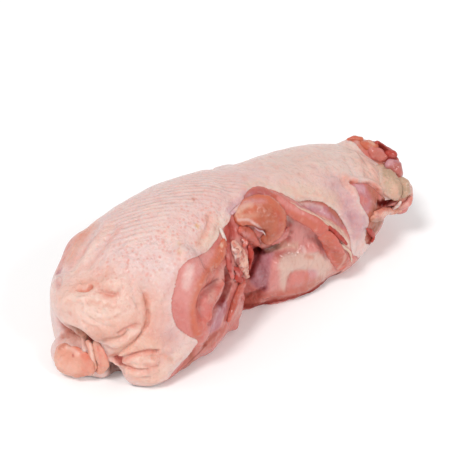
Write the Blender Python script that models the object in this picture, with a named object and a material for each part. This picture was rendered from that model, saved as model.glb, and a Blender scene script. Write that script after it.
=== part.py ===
"""Raw chicken back with its skin, tail and neck end, resting on its cut side.

Run it with: blender --background --python part.py

X runs along the spine from the tail (-X) to the neck (+X), Z is up and the back of the bird is
on top. The bird's right side, where the leg joint is cut open, faces -Y. The origin is on the
surface the piece rests on, under its middle. Lengths below are in millimetres and become metres
in the meshes.
"""

import math

import bmesh
import bpy
import numpy as np
from mathutils import Euler, Matrix, Vector

MM = 0.001

# How the trunk's section is drawn: points round it, and the exponent that squares off its sides.
RING_POINTS = 48
SQUARENESS = 2.4

# Each joining step's surface grain in millimetres, and how many times its joins are smoothed.
MASS_GRAIN, MASS_SMOOTHING = 2.0, 24
HOLLOW_GRAIN, HOLLOW_SMOOTHING = 1.6, 3
PIECE_GRAIN, PIECE_SMOOTHING = 1.4, 3

LOBE_RINGS, LOBE_SIDES = 18, 28
STRAND_STEPS, STRAND_SIDES = 10, 4
CURVE_STEPS = 8  # straight pieces for each stretch of a crease
MERGE_DISTANCE = 0.01 * MM

MOST_REACH = 400.0  # side of the block that cuts the base level, larger than the piece
FACE_BUDGET = 9600  # triangles left on the finished piece, before the base is cut

# Pale pink raw skin, damp and faintly shiny.
SKIN_COLOUR = (0.81, 0.58, 0.51, 1.0)
SKIN_ROUGHNESS = 0.38

# Each station of the trunk: x, half width on the right (-Y) and left (+Y), bottom and top z, and
# how much the section narrows towards its top on the right and left. The neck end is clear of
# the table, and the rest reaches below it and is cut flat.
TRUNK = (
    (-94.0, 13.0, 21.0, -7.0, 33.0, 0.10, 0.10),
    (-88.0, 25.0, 32.0, -7.0, 45.0, 0.14, 0.08),
    (-77.0, 33.0, 38.0, -7.0, 55.0, 0.20, 0.08),
    (-61.0, 37.0, 41.0, -7.0, 62.0, 0.28, 0.10),
    (-41.0, 36.0, 40.5, -7.0, 67.0, 0.30, 0.07),
    (-19.0, 28.0, 39.0, -7.0, 68.0, 0.22, 0.06),
    (1.0, 25.0, 37.5, -7.0, 65.0, 0.16, 0.09),
    (15.0, 27.0, 37.0, -7.0, 60.5, 0.16, 0.12),
    (31.0, 29.0, 37.0, -7.0, 58.5, 0.22, 0.12),
    (54.0, 31.0, 37.0, -7.0, 54.5, 0.26, 0.12),
    (69.0, 29.0, 34.0, 1.0, 50.5, 0.22, 0.12),
    (81.0, 25.0, 30.0, 8.0, 46.5, 0.18, 0.12),
    (93.0, 18.0, 21.0, 15.0, 38.0, 0.10, 0.10),
)

# Large masses whose joins are rounded over: centre, radii and turn about X, Y and Z in degrees.
MASSES = {
    "tail_mound": ((-83.0, 1.0, 33.0), (18.0, 26.0, 15.0), (0, -12, 0)),
    "belly_flap_right": ((-70.0, -24.0, 12.0), (19.0, 15.0, 17.0), (0, 0, -10)),
    "belly_flap_left": ((-73.0, 21.0, 12.0), (16.0, 15.0, 17.0), (0, 0, 10)),
    "thigh_side_right": ((-47.0, -25.0, 24.0), (20.0, 14.0, 26.0), (0, 0, 0)),
    "shoulder_skin": ((61.0, -11.0, 24.0), (20.0, 21.0, 26.0), (0, 0, 0)),
}

# Where leg and wing were cut away and where skin folds under: cut out of the trunk.
HOLLOWS = {
    "side_window": ((11.0, -35.0, 44.0), (33.0, 22.0, 19.0), (0, 8, 0)),
    "waist_gap": ((-6.0, -33.0, 26.0), (10.0, 24.0, 34.0), (0, 10, 0)),
    "rib_window": ((36.0, -38.0, 31.0), (21.0, 12.0, 14.0), (0, 28, 0)),
    "side_window_left": ((11.0, 47.0, 32.0), (30.0, 19.0, 17.0), (0, 8, 0)),
    "waist_gap_left": ((-7.0, 49.0, 18.0), (11.0, 22.0, 24.0), (0, 0, 0)),
    "under_tail": ((-98.0, 1.0, 21.0), (13.0, 24.0, 3.0), (-6, 4, 0)),
    "belly_gap": ((-89.0, -20.0, 2.0), (9.0, 6.0, 9.0), (0, 0, 20)),
    "neck_opening": ((87.0, -25.0, 22.0), (8.0, 9.0, 4.0), (0, 0, 0)),
    "shoulder_fold": ((75.0, -31.0, 33.0), (10.0, 6.0, 5.0), (0, 20, 0)),
}

# Muscles, bone and fat with a clear outline, which keep it: as above.
PIECES = {
    "vent_lobe": ((-92.5, 2.5, 5.5), (10.5, 14.0, 10.5), (0, 0, 24)),
    "vent_side": ((-88.0, 16.0, 20.0), (7.0, 8.0, 12.0), (0, 0, 0)),
    "vent_lobe_right": ((-88.0, -11.0, 11.0), (6.0, 7.0, 12.0), (0, 0, 0)),
    "hip_muscle_right": ((-50.0, -28.5, 38.0), (10.0, 10.0, 25.0), (-22, 6, 0)),
    "hip_muscle_rear": ((-42.0, -28.0, 32.0), (7.0, 8.0, 20.0), (-22, -10, 0)),
    "thigh_rest": ((-41.0, -27.0, 9.0), (12.0, 8.0, 11.0), (0, 0, 20)),
    "flap_under": ((-57.0, -28.0, 6.0), (9.0, 7.0, 9.0), (0, 0, 20)),
    "hip_muscle_left": ((-67.0, 29.5, 33.0), (13.0, 9.0, 19.0), (14, 0, 0)),
    "socket_ball": ((5.0, -14.0, 47.0), (13.0, 10.5, 12.0), (0, 0, 0)),
    "socket_flesh": ((-9.0, -13.0, 50.0), (8.0, 6.0, 6.0), (0, 0, 0)),
    "bone_end": ((-14.0, -20.5, 36.0), (4.5, 7.0, 13.0), (0, 10, 0)),
    "rib_wall": ((20.0, -14.5, 13.0), (29.0, 14.5, 25.0), (-6, 0, -12)),
    "rib_muscle": ((24.0, -16.0, 34.0), (16.0, 8.0, 14.0), (0, 0, 0)),
    "strip_end": ((47.0, -27.0, 14.0), (8.0, 5.0, 13.0), (0, 0, 0)),
    "socket_ball_left": ((4.0, 26.0, 40.0), (12.0, 9.0, 11.0), (0, 0, 0)),
    "rib_wall_left": ((18.0, 21.0, 14.0), (30.0, 14.0, 17.0), (6, 0, 0)),
    "neck_fat": ((87.0, -16.0, 30.0), (11.0, 12.0, 9.0), (0, 20, 0)),
    "neck_fat_tip": ((94.0, -21.0, 27.0), (6.0, 8.0, 8.0), (0, 0, 0)),
    "neck_fat_low": ((94.0, -18.0, 18.0), (6.0, 9.0, 5.0), (0, 0, 0)),
    "neck_meat": ((90.0, 9.0, 36.0), (13.0, 10.0, 9.0), (0, 12, 0)),
    "neck_meat_far": ((96.0, 2.0, 36.0), (7.0, 9.0, 9.0), (0, 0, 0)),
    "neck_bulb": ((95.0, -10.0, 37.0), (7.0, 6.0, 6.5), (0, 0, 0)),
}

# Strips of muscle and folded skin: their middle line and the radius at each of its points.
STRANDS = {
    "flank_strip": (
        ((5, -10, 58), (17, -18, 52), (29, -25, 41), (40, -29, 29), (49, -30, 14)),
        (4.0, 4.5, 4.5, 4.5, 5.0),
    ),
    "drum_strip": (((-14, -19, 28), (-17, -23, 17), (-25, -27, 3)), (3.5, 4.0, 4.5)),
    "waist_skin": (((-22, -16, 57), (-23, -23, 44), (-25, -28, 28)), (2.5, 3.5, 3.0)),
    "vent_strip": (((-94, -7, 22), (-96, -8, 12), (-97, -9, 3)), (2.5, 2.5, 3.0)),
    "flank_strip_left": (
        ((13, 29, 47), (29, 35, 38), (43, 37, 26), (50, 35, 12)), (4.0, 4.5, 4.5, 5.0),
    ),
}

# Creases pressed into the surface: points on it, depth and width.
CREASES = {
    "tail_right": (
        ((-70.5, -21, 49.5), (-74, -29, 37), (-81, -25, 26), (-89.6, -19.5, 20)), 3.5, 3.0,
    ),
    "tail_slit": (((-90, 3, 45), (-87, -4, 47)), 2.0, 2.0),
    "flap_fold": (((-88, -21, 15), (-81, -31, 18), (-73, -37, 22)), 2.5, 2.5),
}


def clear_scene():
    """Removes whatever the scene starts with."""
    for item in list(bpy.data.objects):
        bpy.data.objects.remove(item, do_unlink=True)


def add_mesh(name, bm):
    """Makes an object of a bmesh whose points are in millimetres."""
    bmesh.ops.recalc_face_normals(bm, faces=bm.faces)
    bmesh.ops.scale(bm, vec=(MM, MM, MM), verts=bm.verts)
    mesh = bpy.data.meshes.new(name)
    bm.to_mesh(mesh)
    bm.free()
    item = bpy.data.objects.new(name, mesh)
    bpy.context.scene.collection.objects.link(item)
    return item


def rounded(value):
    """A power of a sine or cosine that squares off a circle, with its sign kept."""
    return math.copysign(abs(value) ** (2.0 / SQUARENESS), value)


def trunk():
    """The skin-covered carcass: a loft through the trunk stations."""
    bm = bmesh.new()
    rings = []
    for x, right, left, bottom, top, narrow_right, narrow_left in TRUNK:
        centre_z = (top + bottom) / 2
        half_height = (top - bottom) / 2
        ring = []
        for i in range(RING_POINTS):
            angle = 2 * math.pi * i / RING_POINTS
            up = rounded(math.sin(angle))
            out = rounded(math.cos(angle))
            half = left * (1 - narrow_left * up) if out > 0 else right * (1 - narrow_right * up)
            ring.append(bm.verts.new((x, half * out, centre_z + half_height * up)))
        rings.append(ring)
    for near, far in zip(rings, rings[1:]):
        for i in range(RING_POINTS):
            j = (i + 1) % RING_POINTS
            bm.faces.new((near[i], near[j], far[j], far[i]))
    bm.faces.new(rings[0])
    bm.faces.new(reversed(rings[-1]))
    return add_mesh("trunk", bm)


def lobe(name, centre, radii, turn):
    """One rounded mass: a sphere stretched, turned and put in place."""
    bm = bmesh.new()
    place = Matrix.Translation(Vector(centre))
    rotation = Euler([math.radians(angle) for angle in turn]).to_matrix().to_4x4()
    stretch = Matrix.Diagonal((*radii, 1.0))
    bmesh.ops.create_uvsphere(
        bm, u_segments=LOBE_SIDES, v_segments=LOBE_RINGS, radius=1.0,
        matrix=place @ rotation @ stretch,
    )
    return add_mesh(name, bm)


def strand(name, points, radii):
    """One strip: a round curve through its points, thick as its radii say."""
    curve = bpy.data.curves.new(name, "CURVE")
    curve.dimensions = "3D"
    curve.bevel_depth = MM
    curve.bevel_resolution = STRAND_SIDES
    curve.resolution_u = STRAND_STEPS
    curve.use_fill_caps = True
    spline = curve.splines.new("BEZIER")
    spline.bezier_points.add(len(points) - 1)
    for knot, point, radius in zip(spline.bezier_points, points, radii):
        knot.co = Vector(point) * MM
        knot.radius = radius
        knot.handle_left_type = knot.handle_right_type = "AUTO"
    line = bpy.data.objects.new(name, curve)
    bpy.context.scene.collection.objects.link(line)
    bpy.context.view_layer.update()
    bm = bmesh.new()
    bm.from_mesh(line.to_mesh())
    line.to_mesh_clear()
    bpy.data.objects.remove(line, do_unlink=True)
    bmesh.ops.remove_doubles(bm, verts=bm.verts, dist=MERGE_DISTANCE)
    bmesh.ops.scale(bm, vec=(1 / MM, 1 / MM, 1 / MM), verts=bm.verts)
    return add_mesh(name, bm)


def apply_modifiers(item):
    """Gives the object the mesh that its modifiers make, and removes them."""
    graph = bpy.context.evaluated_depsgraph_get()
    shaped = bpy.data.meshes.new_from_object(item.evaluated_get(graph))
    item.modifiers.clear()
    item.data = shaped


def modifier(item, kind, name, **settings):
    """Adds a modifier with its settings."""
    made = item.modifiers.new(name, kind)
    for key, value in settings.items():
        setattr(made, key, value)
    return made


def fuse(body, masses, grain, smoothing, operation="UNION"):
    """Joins masses to the body, or cuts them out, and rounds the joins."""
    group = bpy.data.collections.new("masses")
    bpy.context.scene.collection.children.link(group)
    for item in masses:
        bpy.context.scene.collection.objects.unlink(item)
        group.objects.link(item)
    modifier(
        body, "BOOLEAN", "join", operation=operation, operand_type="COLLECTION",
        collection=group, solver="MANIFOLD",
    )
    modifier(body, "REMESH", "skin_over", mode="VOXEL", voxel_size=grain * MM)
    modifier(body, "SMOOTH", "round_joins", factor=0.5, iterations=smoothing)
    apply_modifiers(body)
    for item in list(group.objects):
        bpy.data.objects.remove(item, do_unlink=True)
    bpy.data.collections.remove(group)


def rounded_line(points, steps=CURVE_STEPS):
    """Points along a smooth curve that passes through the given ones."""
    ends = [2 * Vector(points[0]) - Vector(points[1]), 2 * Vector(points[-1]) - Vector(points[-2])]
    knots = [ends[0], *map(Vector, points), ends[1]]
    line = []
    for a, b, c, d in zip(knots, knots[1:], knots[2:], knots[3:]):
        for i in range(steps):
            t = i / steps
            line.append(
                0.5 * (2 * b + (c - a) * t + (2 * a - 5 * b + 4 * c - d) * t**2
                       + (3 * b - a - 3 * c + d) * t**3)
            )
    return np.array([*line, knots[-2]])


def press(body, points, depth, width):
    """Presses a crease into the body along a line, with a bell-shaped section."""
    mesh = body.data
    places = np.empty(len(mesh.vertices) * 3)
    normals = np.empty(len(mesh.vertices) * 3, np.float32)
    mesh.vertices.foreach_get("co", places)
    mesh.vertices.foreach_get("normal", normals)
    places = places.reshape(-1, 3) / MM
    line = rounded_line(points)
    away = np.full(len(places), np.inf)
    for start, stop in zip(line, line[1:]):
        along = stop - start
        share = np.clip((places - start) @ along / (along @ along), 0, 1)
        away = np.minimum(away, np.linalg.norm(places - start - share[:, None] * along, axis=1))
    places -= normals.reshape(-1, 3) * (depth * np.exp(-((away / width) ** 2)))[:, None]
    mesh.vertices.foreach_set("co", (places * MM).ravel())
    mesh.update()


def cut_flat(body):
    """Thins out the faces and cuts the body off level with the table."""
    below = bmesh.new()
    half = MOST_REACH / 2
    place = Matrix.Translation((0, 0, -half)) @ Matrix.Scale(MOST_REACH, 4)
    bmesh.ops.create_cube(below, size=1.0, matrix=place)
    table = add_mesh("table_cut", below)
    modifier(body, "DECIMATE", "fewer_faces", ratio=FACE_BUDGET / (2 * len(body.data.polygons)))
    modifier(body, "BOOLEAN", "level_base", operation="DIFFERENCE", object=table, solver="MANIFOLD")
    apply_modifiers(body)
    bpy.data.objects.remove(table, do_unlink=True)


def raw_skin():
    """The material of the whole piece: damp raw skin."""
    material = bpy.data.materials.new("raw_skin")
    material.use_nodes = True
    shader = material.node_tree.nodes["Principled BSDF"]
    shader.inputs["Base Color"].default_value = SKIN_COLOUR
    shader.inputs["Roughness"].default_value = SKIN_ROUGHNESS
    shader.inputs["Metallic"].default_value = 0.0
    return material


def build():
    """Joins the masses, rounds their joins and cuts the piece flat where it rests."""
    clear_scene()
    body = trunk()
    body.name = "chicken_back"
    masses = [lobe(name, *shape) for name, shape in MASSES.items()]
    fuse(body, masses, MASS_GRAIN, MASS_SMOOTHING)
    hollows = [lobe(name, *shape) for name, shape in HOLLOWS.items()]
    fuse(body, hollows, HOLLOW_GRAIN, HOLLOW_SMOOTHING, "DIFFERENCE")
    pieces = [lobe(name, *shape) for name, shape in PIECES.items()]
    pieces += [strand(name, *shape) for name, shape in STRANDS.items()]
    fuse(body, pieces, PIECE_GRAIN, PIECE_SMOOTHING)
    for points, depth, width in CREASES.values():
        press(body, points, depth, width)
    cut_flat(body)
    body.data.shade_smooth()
    body.data.materials.clear()
    body.data.materials.append(raw_skin())


build()
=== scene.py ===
"""Raw chicken back: skin, muscle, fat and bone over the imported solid.

The file is laid out as a Blender add-on and is run as a script. Each operator makes one piece or
group of like pieces, and main() calls them in order.

X runs from the tail (-X) to the neck (+X), the bird's right side faces -Y, and Z is up. Places
and sizes are in millimetres unless a name says otherwise. A place with two numbers is a pixel of
the photograph, 450 by 450, and stands for the point of the body that the camera sees there. A
place with three numbers is on the body itself.
"""

import itertools
import math
from functools import cache

import bpy
import numpy as np
from bpy.props import FloatProperty, PointerProperty
from mathutils import Matrix, Vector
from mathutils.bvhtree import BVHTree


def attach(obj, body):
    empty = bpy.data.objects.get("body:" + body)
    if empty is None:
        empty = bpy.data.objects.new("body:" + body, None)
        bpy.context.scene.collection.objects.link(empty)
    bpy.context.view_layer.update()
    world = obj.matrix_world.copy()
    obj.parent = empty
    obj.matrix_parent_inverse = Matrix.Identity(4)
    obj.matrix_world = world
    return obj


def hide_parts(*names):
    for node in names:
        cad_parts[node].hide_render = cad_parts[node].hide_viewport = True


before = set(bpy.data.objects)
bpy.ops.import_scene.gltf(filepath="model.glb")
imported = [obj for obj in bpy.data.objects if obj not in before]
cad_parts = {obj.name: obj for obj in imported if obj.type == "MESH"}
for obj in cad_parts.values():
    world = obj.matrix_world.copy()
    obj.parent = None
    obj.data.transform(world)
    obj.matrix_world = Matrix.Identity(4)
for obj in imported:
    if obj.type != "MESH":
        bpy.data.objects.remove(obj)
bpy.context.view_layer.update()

bl_info = {
    "name": "Raw Chicken Back",
    "version": (1, 0, 0),
    "blender": (4, 5, 0),
    "location": "View3D > Sidebar > Chicken Back",
    "description": "Covers the chicken back's solid with skin, muscle, fat and bone",
    "category": "Object",
}

MM = 0.001
BODY_NODE = "chicken_back"

# The camera: turn and height in degrees, distance, and the point it looks at.
PHOTO_SIZE = 450
AZIMUTH, ELEVATION = -40.0, 36.0
CAMERA_DISTANCE = 800.0
LENS, SENSOR = 128.0, 36.0
LOOKS_AT = (10.8, 19.0, 22.7)
PIXELS_PER_MM = 2.0  # at the middle of the body

# The distant lights: how wide each looks, and its azimuth and elevation, in degrees.
KEY_WIDTH, KEY_FROM = 16, (-80, 58)
SIDE_WIDTH, SIDE_FROM = 13, (8, 38)

# Raw poultry's colours in white light. Some are also laid on as painted highlight and painted shade.
TINTS = {
    "skin_pale": "#E6C6C1",
    "skin_rose": "#E3B9B2",
    "skin_beige": "#DFBFB3",
    "skin_lilac": "#CBA3A4",
    "skin_peach_and_highlight": "#E9B6A2",
    "skin_cream_and_highlight": "#F2D0C2",
    "skin_warm": "#E09C86",
    "skin_blush_and_shade": "#DD8372",
    "follicle": "#E09080",
    "follicle_yellow": "#E0AC74",
    "slit_orange": "#DC6A4C",
    "fat_cream_and_highlight": "#E2BFA8",
    "fat_yellow": "#BA987E",
    "muscle_pink": "#D99089",
    "muscle_rose": "#CF766E",
    "muscle_orange": "#C96A4E",
    "muscle_coral": "#CC6858",
    "muscle_brown_and_shade": "#B4644C",
    "muscle_red_and_shade": "#B2443A",
    "olive_brown": "#96604A",
    "deep_red": "#7C1C16",
    "dark_red": "#4C0C0A",
    "fascia": "#D9B3A5",
    "fascia_and_highlight_white": "#EBD3CC",
    "membrane_grey": "#AE7375",
    "membrane_purple": "#B9757E",
    "membrane_lilac_and_highlight": "#D3A2A9",
    "bone_cream": "#E6AE9C",
    "marrow": "#A03A30",
}

DULL_BELOW, WET_ABOVE = 0.1, 0.27  # brightness of the paint that wet shine starts and is full at

# Where the skin is cut away on the bird's right side and at the neck, and on the left side as x
# and z on the body.
LEG_WINDOW = (
    (221, 230), (216, 240), (207, 251), (197, 256), (185, 262), (178, 272), (174, 287), (171, 303),
    (172, 316), (177, 327), (187, 336), (197, 341), (193, 349), (186, 358), (178, 366), (170, 376),
    (160, 392), (200, 420), (362, 330), (385, 262), (364, 258), (353, 254), (351, 243),
    (348, 232), (342, 219), (334, 209), (322, 202), (310, 200), (298, 201), (290, 197),
    (278, 191), (266, 188), (253, 189), (247, 196), (243, 203), (236, 208), (231, 215),
    (228, 222),
)
NECK_WINDOW = (
    (340, 130), (345, 142), (358, 142), (362, 148), (367, 154), (373, 159), (384, 162), (392, 171),
    (397, 184), (394, 196), (386, 200), (378, 194), (372, 188), (366, 185), (359, 185), (354, 185),
    (356, 190), (359, 197), (360, 204), (366, 213), (369, 222), (366, 232), (372, 246), (440, 240),
    (440, 130),
)
NECK_STARTS = 55.0
LEFT_WINDOW = (
    (-26, -8), (-23, 14), (-16, 29), (-2, 39), (16, 41), (34, 36), (46, 24), (52, 10), (53, -8),
)
FAR_NECK_EDGE = 88.0
BASE_EDGE = 1.2  # the skin ends this far above the table under the body

SIDE_LIMIT = 12.0  # a window of one side stops this far past the body's middle
EDGE_WOBBLE = 0.3
SKIN_THICKNESS = 1.2
FLESH_DEPTH = 3.4  # how far the flesh lies under the skin's face
FLESH_INSET = 0.15  # how far the bare flesh lies inside the body
EDGE_BANDS = (2.2, 0.8)  # faces this near a window's edge are split, and the nearer ones twice
FLESH_BAND = 1.5  # the flesh's faces are split in the windows and this far past them
TRIM_REACH = 0.2  # points this near a window's edge are slid onto it, and no further
FINE_FOLD, FOLD_MARGIN = 1.5, 0.8  # narrower folds get finer faces, this far past their sides
LONGEST_STEP = 10.0  # a stroke that steps further has passed from one form to another behind it
SOCKET_GRAIN, SHRED_GRAIN = 0.7, 0.4  # the size of their faces

# Lines worked into the skin: height (raised above 0, pressed below), half width, places.
SKIN_FOLDS = (
    # The crease round the tail and the folds inside it.
    (-1.2, 0.6, ((144, 294), (146, 304), (148, 315), (147, 323), (142, 331), (135, 340), (127, 347),
                 (118, 353), (110, 357))),
    (0.6, 1.6, ((151, 306), (152, 316), (151, 325), (146, 334), (138, 343), (129, 351))),
    (0.8, 1.4, ((130, 326), (139, 329), (134, 337), (122, 344), (110, 349))),
    (-1.3, 0.8, ((118, 333), (124, 329), (131, 326), (138, 325), (141, 328))),
    (-1.5, 0.9, ((101, 341), (108, 340), (116, 339), (124, 336), (128, 331))),
    (0.7, 1.6, ((98, 335), (108, 334), (118, 331), (126, 325))),
    # The hollow over the vent and its upper lip.
    (-3.4, 1.9, ((65, 327), (73, 330), (80, 333), (87, 338), (93, 341))),
    (1.0, 1.6, ((66, 321), (75, 323), (84, 327), (92, 333), (99, 338))),
    # The slit on the tail and the small rolls beside it.
    (-1.2, 0.55, ((78, 290), (83, 291), (88, 290), (92, 287))),
    (1.1, 1.3, ((79, 286), (86, 286), (93, 283))),
    (1.6, 2.6, ((104, 285), (111, 284), (117, 285))),
    (-1.2, 0.9, ((97, 290), (104, 292), (111, 294), (117, 293), (121, 288))),
    (-0.8, 1.2, ((100, 276), (103, 282), (101, 288))),
    (-0.6, 1.2, ((90, 304), (96, 305), (103, 308), (109, 309), (114, 311))),
    (0.5, 2.2, ((86, 310), (98, 314), (112, 316))),
    # The flap beside the vent.
    (-0.6, 0.8, ((134, 364), (142, 366), (150, 364))),
    (0.6, 1.2, ((126, 369), (136, 374), (146, 375))),
    (-2.0, 0.9, ((112, 359), (120, 359), (130, 356), (137, 354), (147, 352), (157, 351))),
    (-1.8, 0.9, ((116, 361), (121, 365), (128, 368), (137, 371), (148, 371))),
    (1.5, 1.8, ((124, 361), (134, 360), (146, 361), (156, 363))),
    (0.9, 1.6, ((128, 374), (140, 379), (154, 381), (166, 378))),
    (-0.8, 1.2, ((146, 366), (152, 368), (158, 366))),
    (-0.8, 1.1, ((163, 338), (165, 348), (162, 358), (158, 366))),
    # Smaller creases of the tail and the flap.
    (-1.0, 0.9, ((88, 316), (96, 322), (105, 326), (115, 328))),
    (-3.0, 1.8, ((110, 366), (115, 368), (120, 371))),
    (0.9, 1.4, ((112, 345), (122, 341), (133, 334), (141, 327))),
    (-0.9, 0.9, ((128, 375), (138, 378), (150, 378))),
    (-1.2, 1.0, ((60, 322), (62, 328), (63, 336))),
    (-2.2, 1.4, ((116, 359), (119, 362), (121, 365))),
    (-0.7, 1.2, ((131, 280), (133, 292), (137, 303), (141, 312))),
    (0.6, 1.8, ((139, 284), (141, 296), (145, 306))),
    (-0.5, 1.0, ((156, 300), (156, 315), (153, 330))),
    (-0.5, 0.7, ((88, 303), (92, 302), (96, 304), (100, 303))),
    (-0.5, 0.7, ((104, 306), (108, 305), (112, 308), (117, 307))),
    (0.5, 1.4, ((64, 300), (72, 297), (80, 299), (88, 297))),
    (-0.5, 0.8, ((66, 304), (74, 302), (82, 304))),
    (-0.5, 0.9, ((84, 322), (90, 326), (97, 328))),
    (0.5, 1.2, ((150, 352), (158, 349), (168, 350), (176, 354))),
    (-0.6, 0.9, ((152, 357), (162, 355), (172, 360))),
    (-0.5, 0.8, ((100, 320), (110, 319), (120, 315), (128, 308))),
    (-0.4, 0.8, ((134, 298), (138, 310), (137, 320))),
    (-0.4, 1.0, ((163, 300), (164, 318), (160, 336))),
    # The stripes that run down the left side to the tail.
    (-0.8, 1.6, ((98, 224), (90, 238), (81, 254), (73, 268))),
    (0.8, 2.2, ((106, 222), (99, 236), (90, 251), (80, 268))),
    (-0.6, 1.6, ((115, 224), (108, 238), (98, 252), (87, 268))),
    (0.5, 2.0, ((122, 226), (116, 240), (106, 254))),
    (-0.9, 1.2, ((57, 271), (61, 276), (60, 284))),
    # The cut over the neck and the folds that hang from it.
    (-2.6, 1.1, ((352, 182), (357, 184), (363, 184), (369, 185), (374, 188), (379, 192), (383, 198))),
    (1.4, 1.6, ((352, 178), (360, 180), (368, 181), (376, 185), (382, 191))),
    (0.9, 1.3, ((347, 177), (349, 183), (353, 189), (356, 196))),
    (-0.8, 1.0, ((343, 178), (345, 185), (350, 193))),
    (-0.8, 1.4, ((346, 158), (351, 167), (355, 176))),
    (0.8, 1.8, ((354, 152), (359, 162), (362, 173))),
    (-0.6, 1.3, ((362, 156), (367, 164), (372, 174))),
    (-0.8, 2.0, ((343, 194), (349, 206), (353, 219), (354, 232))),
    (0.7, 2.0, ((352, 198), (358, 210), (361, 224), (358, 236))),
    # The rim over the flank, the dips in the back and the lip at the hip.
    (0.7, 1.3, ((300, 197), (312, 196), (324, 198), (337, 205), (346, 217), (352, 231), (355, 246))),
    (-1.0, 5.0, ((322, 160), (333, 172), (342, 182))),
    (-1.0, 5.0, ((218, 168), (226, 184), (232, 200))),
    (-0.9, 1.0, ((209, 216), (208, 225), (204, 234), (200, 242))),
    (0.5, 1.4, ((215, 216), (213, 228), (208, 240))),
    (-0.5, 2.2, ((284, 186), (300, 190), (316, 189))),
)

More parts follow.
